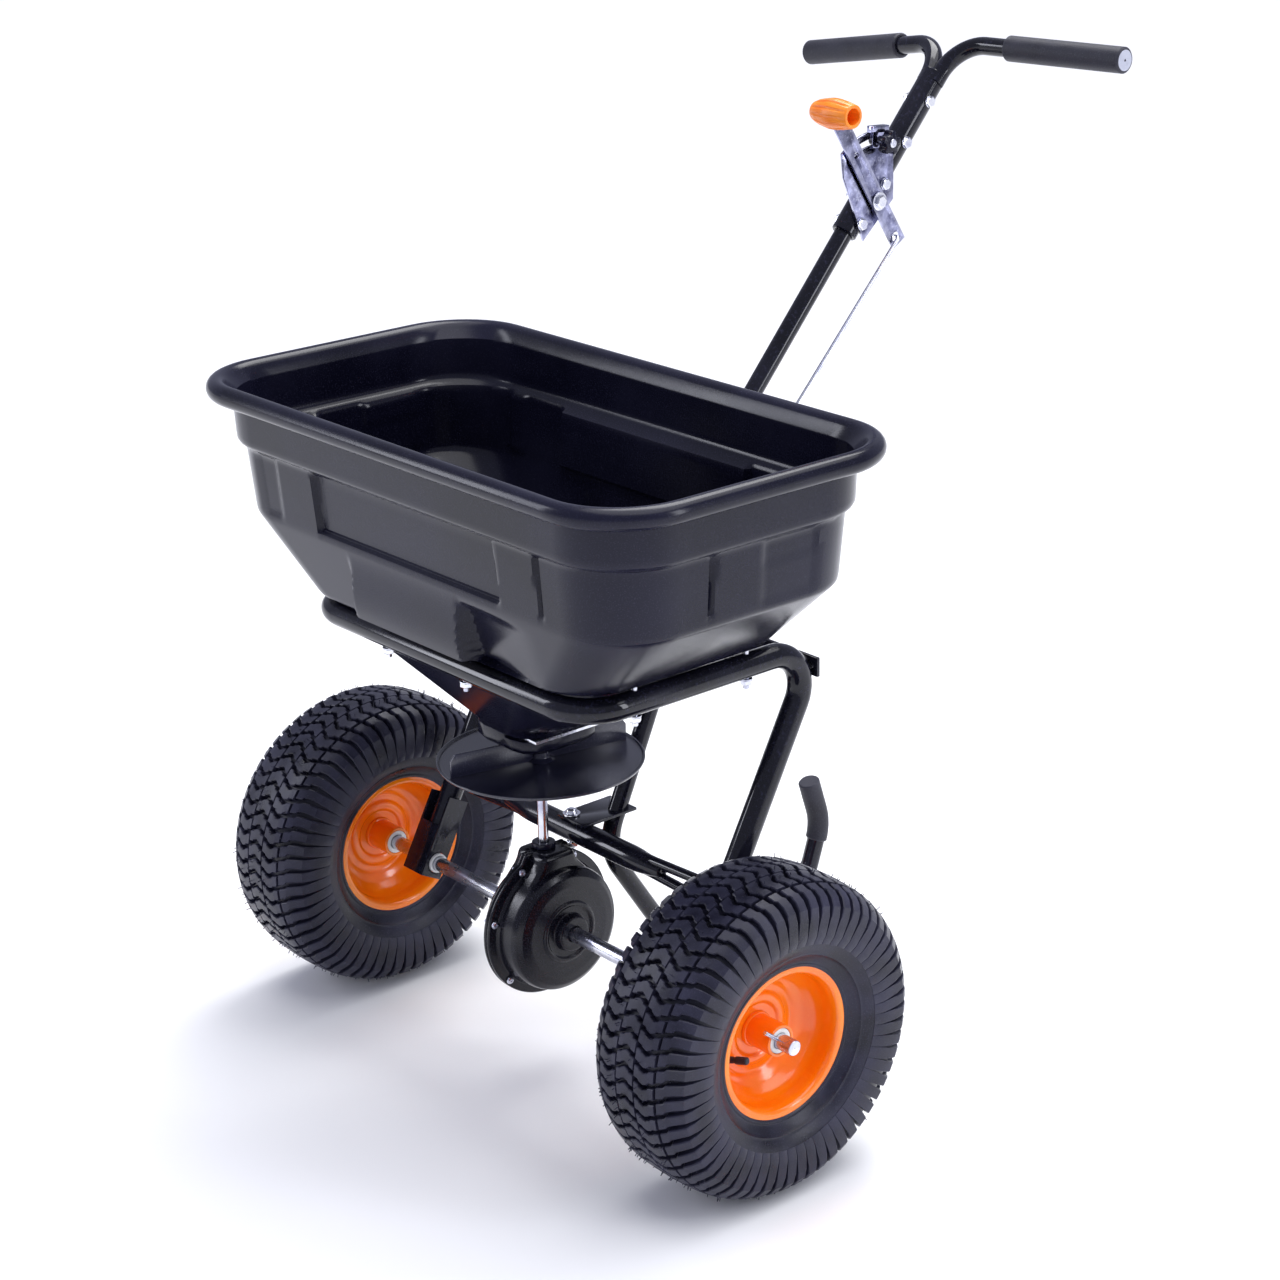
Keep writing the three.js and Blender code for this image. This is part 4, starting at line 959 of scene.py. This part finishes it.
corner_y = leg_y(FRAME_Z)
frame_line = bent_line([
    at(-LEG_X, leg_y(LEG_FOOT), LEG_FOOT),
    at(-FRAME_X, corner_y, FRAME_Z),
    at(-FRAME_X, FRAME_FRONT, FRAME_Z),
    at(FRAME_X, FRAME_FRONT, FRAME_Z),
    at(FRAME_X, corner_y, FRAME_Z),
    at(LEG_X, leg_y(LEG_FOOT), LEG_FOOT),
], FRAME_BENDS)
piece("frame_tube", swept(frame_line, FRAME_R, FRAME_R - 2, 40), "black_tube", ["hopper_frame"])
for label, side in (("right", 1), ("left", -1)):
    bracket_x = side * (LEG_X - 1)
    front, back = BRACKET_SPAN
    plates = []
    for x in (bracket_x - BRACKET_PLATE_X, bracket_x + BRACKET_PLATE_X):
        low, high = x - BRACKET_THICK / 2, x + BRACKET_THICK / 2
        plates.append(box((low, front, BRACKET_FOOT), (high, back, BRACKET_HEAD)))
    web = box((bracket_x - 15, -15.8, BRACKET_FOOT), (bracket_x + 15, -13.2, 40))
    bracket = loose(f"{label}_bracket_plates", *plates[0])
    combined(bracket, loose("web", *web), "UNION")
    combined(bracket, loose("plate", *plates[1]), "UNION")
    foot = at(bracket_x, 0, 0)
    bush_middle = foot + Vector((0, 0, AXLE_Z * MM))
    tilt = Matrix.Rotation(-math.atan(1 / LEG_SLOPE), 3, "X")
    for vertex in bracket.data.vertices:
        vertex.co = bush_middle + tilt @ (vertex.co - foot)
    bore = [(0, -30), (11.3, -30), (11.3, 30), (0, 30)]
    cut(bracket, turned(bore, bush_middle, segments=48))
    placed(bevelled(bracket, 0.8, 3), "black_tube", [f"{label}_axle_bracket"])
    sleeve = [(AXLE_R + 0.4, -19.8), (10.9, -19.8), (10.9, 19.8), (AXLE_R + 0.4, 19.8)]
    piece(f"{label}_axle_bushing", turned(softened(sleeve, 0.7), at(bracket_x, 0, AXLE_Z), segments=48),
          "white_plastic", [f"{label}_axle_bush"])
bar_half = LEG_X - FRAME_R - 3.4
middle = at(0, crossbar_y, CROSSBAR_Z)
taper = [(0, -128), (7.5, -128), (CROSSBAR_R, -88), (CROSSBAR_R, 88), (7.5, 128), (0, 128)]
crossbar = loose("crossbar_tube", *turned(softened(taper, 14, 6), middle, segments=48))
for side in (1, -1):
    for lift in (1, -1):
        corners = [middle + Vector((side * x, 0, lift * z)) * MM
                   for x, z in ((PRONG_START, 6.0), (116, 7.0), (178, 9.8), (bar_half, 9.8))]
        prong = loose("prong", *swept(bent_line(corners, [90, 60]), PRONG_R, 0, 32, 0.8))
        combined(crossbar, prong, "UNION")
placed(crossbar, "black_tube", ["crossbar"], smooth=45)

pole_corners = [on_handle(POLE_TOP)] + [at(0, y, z) for y, z, _ in POLE_BENDS] + [at(0, *STAND_TIP)]
pole_line = bent_line(pole_corners, [bend[2] for bend in POLE_BENDS])
piece("pole_tube", swept(pole_line, POLE_R, POLE_R - 1.8, 40), "black_tube", ["handle_pole_and_stand"])
tip_line = pole_line[-16:]
tip = tip_line[-1]
beyond = tip + (tip - tip_line[-2]).normalized() * 3 * MM
start = tip_line[0]
sleeve = loose("stand_sleeve", *swept([*tip_line[:-1], beyond], 12.2, 0, 40, 1.4))
before = start - (tip_line[1] - start).normalized() * 8 * MM
inner_tip = tip + (tip - tip_line[-2]).normalized() * 0.3 * MM
sleeve_bore = swept([before, *tip_line[:-1], inner_tip], POLE_R + 0.4, 0, 40, 0.1)
cut(sleeve, sleeve_bore)
placed(sleeve, "grip_rubber", ["stand_tip_sleeve"])
refined("stand_plate", "black_tube", 0.7)
refined("rear_strap", "black_tube", 0.7)

# -------- handle bar
def grip_direction(side):
    """Direction of a grip, outward from the bar's bend."""
    return Vector((side, BAR_SWEEP, side * BAR_ROLL - BAR_DROOP))


for label, side in (("right", 1), ("left", -1)):
    offset = side * BAR_OFFSET
    corner = on_handle(-BAR_RISE, offset)

    def along(reach):
        """Place on the grip's axis, a distance out from the middle plane."""
        return corner + grip_direction(side) * (reach - BAR_OFFSET) * MM

    line = bent_line([on_handle(SHELL_TOP + 12, offset), corner, along(GRIP_END - 5)], [BAR_BEND])
    bar = loose(f"bar_{label}_tube", *swept(line, BAR_R, 0, 40))
    shell_line = [on_handle(down) for down in (SHELL_BOTTOM, SHELL_BOTTOM - 2, SHELL_TOP + 2, SHELL_TOP)]
    combined(bar, loose("clamp_shell", *swept(shell_line, SHELL_R, 0, 56, 1.2)), "UNION")
    pole_bore = swept([on_handle(SHELL_BOTTOM + 5), on_handle(POLE_TOP - 0.5)], POLE_R + 0.4, 0, 48, 0.1)
    cut(bar, pole_bore)
    low, high = sorted((side * 0.15, -side * 300))
    cut(bar, box((low, 300, 700), (high, 700, 1100)))
    placed(bar, "black_tube", [f"handle_bar_{label}_half"], smooth=40)

    grip_reaches = (GRIP_START, GRIP_START + 4, GRIP_START + 9, GRIP_START + 10, GRIP_END - 3, GRIP_END)
    grip_line = [along(reach) for reach in grip_reaches]
    grip = loose(f"{label}_grip_rubber", *swept(grip_line, GRIP_R, 0, 64, 1.6))
    bore = swept([along(GRIP_START - 10), along(GRIP_END - 4)], BAR_R + 0.4, 0, 48, 0.1)
    cut(grip, bore)
    vent = swept([along(GRIP_END - 20), along(GRIP_END + 5)], 1.4, 0, 16, 0.1)
    cut(grip, vent)
    placed(grip, "grip_rubber", [f"{label}_grip"])
    face_line = [along(GRIP_END - 0.4), along(GRIP_END + 0.3)]
    face = loose(f"{label}_grip_end", *swept(face_line, GRIP_R - 2.8, 0, 64, 0.2))
    cut(face, vent)
    placed(face, "grip_rubber", body="frame", material=GRIP_END_FINISH)

# -------- gate lever, rate stop and control rod
refined("rate_plate", "zinc", 0.4, PASSIVATED)
refined("gate_lever", "zinc", 0.4, PASSIVATED)
refined("rate_stop", "zinc", 0.4, PASSIVATED)

half = KNOB_LENGTH / 2
lever_line = Vector((0, -math.sin(LEVER_LEAN), math.cos(LEVER_LEAN)))
knob_middle = pivot + Vector((LEVER_X * MM, 0, 0)) + lever_line * LEVER_UP * MM
barrel = softened([(0, -half), (9.5, -half), (13.4, -half * 0.66), (16.2, -half * 0.1), (16.2, half * 0.15),
                   (14.6, half * 0.6), (12.3, half), (8.6, half), (8.4, half - 20), (0, half - 20)], 2.2, 5)
knob_rings = []
for radius, distance in barrel:
    outer = radius > 8.9 and abs(distance) < half - 1.5
    depth = 1.3 * band(distance, -half * 0.72, half * 0.72, 3.5) if outer and radius > 11 else 0.0
    ring = []
    for k in range(144):
        angle = 2 * math.pi * k / 144
        wave = max(0.0, math.cos(FLUTES * angle)) ** 0.6
        reach = max(radius - depth * wave, 0.0)
        ring.append(knob_middle + Vector((distance, reach * math.cos(angle), reach * math.sin(angle))) * MM)
    knob_rings.append(ring)
knob = loose("lever_knob_barrel", *skin(knob_rings, closed=True))
lean_turn = Matrix.Rotation(LEVER_LEAN, 3, "X")
slot_box = loose("slot", *box((LEVER_X - 0.3, -10.4, 0), (LEVER_X + 2.8, 10.4, LEVER_UP - 3.7)))
origin = at(0, 0, 0)
for vertex in slot_box.data.vertices:
    vertex.co = pivot + lean_turn @ (vertex.co - origin)
combined(knob, slot_box, "DIFFERENCE")
placed(knob, "orange_plastic", ["lever_knob"])

stop_middle = pivot + Vector((0, math.sin(0.05), math.cos(0.05))) * 63 * MM
star = []
for inset, distance in ((1.6, 0), (0.4, 0.6), (0, 1.8), (0, 10.2), (0.4, 11.4), (1.6, 12)):
    ring = []
    for k in range(120):
        angle = 2 * math.pi * k / 120
        reach = 11.0 + 2.0 * math.tanh(2.2 * math.cos(5 * angle - 0.8)) - inset
        ring.append(stop_middle + Vector((PLATE_OUTER + 10.6 + distance, reach * math.cos(angle),
                                          reach * math.sin(angle))) * MM)
    star.append(ring)
screw = [(0, 13.5), (3, 13.5), (3, 31), (0, 31)]
foot = [(0, 8.6), (5.4, 8.6), (5.4, 14), (0, 14)]
head = [(0, 39.4), (4.6, 39.4), (4.6, 40.6), (3.6, 41.4), (0, 41.4)]
piece("rate_stop_star", merged(skin(star), turned(softened(screw, 0.3), stop_middle, segments=24),
                               turned(softened(foot, 0.4), stop_middle, segments=24)),
      "black_plastic", ["rate_stop_knob"])
piece("rate_stop_screw_head", turned(softened(head, 0.3), stop_middle, segments=32), "zinc", body="stop_knob")

rod_x = LEVER_X + 6.5
rod_top = pivot - lever_line * LEVER_DOWN * MM
shift = Vector((MM, 0, 0))
rod_corners = [rod_top + shift * (LEVER_X - 1), rod_top + shift * rod_x, at(rod_x, *TAB),
               at(GATE_X - 9, *TAB)]
rod_line = bent_line(rod_corners, [3.4, 3.4], 6)
piece("control_rod_wire", swept(rod_line, ROD_R - 0.2, 0, 24, 0.5), "zinc", ["control_rod"])

# -------- studio
def studio_material(name, colour, rough):
    """Plain pale backdrop with a faint unevenness."""
    shade = tuple(c * 0.985 for c in colour)
    return finish(name, colour, shade, rough, patch=0.8, grain=120, bump=0.02, edge_wear_and_highlight=0)


floor = loose("floor", *skin([[Vector((x, y, z)) for x, y in ((-30, -30), (30, -30), (30, 30), (-30, 30))]
                              for z in (-0.02, 0.0)]))
floor.data.materials.append(studio_material("floor_paint", (0.95, 0.95, 0.95), (0.55, 0.7)))


def softbox(name, place, aim, width, height, power, colour=(1, 1, 1)):
    """Rectangular area light turned towards a place."""
    data = bpy.data.lights.new(name, "AREA")
    data.shape = "RECTANGLE"
    data.size, data.size_y, data.energy, data.color = width, height, power, colour
    light = bpy.data.objects.new(name, data)
    light.location = place
    light.rotation_euler = (Vector(aim) - Vector(place)).to_track_quat("-Z", "Y").to_euler()
    bpy.context.scene.collection.objects.link(light)


softbox("overhead", (-0.4, 0.9, 2.6), (0, 0, 0.5), 1.4, 1.4, 40)
softbox("front_left", (-2.4, -2.4, 1.7), (0, 0, 0.5), 0.5, 2.2, 34, (0.88, 0.90, 1.0))
softbox("right", (3.0, 1.2, 1.5), (0, 0, 0.4), 0.6, 2.0, 34, (0.90, 0.92, 1.0))

key = bpy.data.lights.new("key", "SUN")
key.energy = 2.5
key.angle = math.radians(70)
key_light = bpy.data.objects.new("key", key)
key_light.rotation_euler = Vector((0.12, 0.2, 1.0)).to_track_quat("Z", "Y").to_euler()
bpy.context.scene.collection.objects.link(key_light)

world = bpy.data.worlds.new("studio_air")
world.use_nodes = True
world.node_tree.nodes["Background"].inputs["Color"].default_value = (0.76, 0.79, 1.0, 1)
world.node_tree.nodes["Background"].inputs["Strength"].default_value = 0.48
bpy.context.scene.world = world
bpy.context.scene.view_settings.view_transform = "Standard"

# -------- camera
azimuth_turn = Matrix.Rotation(CAMERA_AZIMUTH, 4, "Z")
elevation_turn = Matrix.Rotation(math.pi / 2 - CAMERA_ELEVATION, 4, "X")
data = bpy.data.cameras.new("view")
data.lens = 79.46
data.sensor_width = 36
data.clip_end = 200
camera = bpy.data.objects.new("view", data)
place = Matrix.Translation((CAMERA_PLACE[0], CAMERA_PLACE[1] + AXLE_Y, CAMERA_PLACE[2]))
camera.matrix_world = place @ azimuth_turn @ elevation_turn @ Matrix.Rotation(CAMERA_ROLL, 4, "Z")
bpy.context.scene.collection.objects.link(camera)
bpy.context.scene.camera = camera
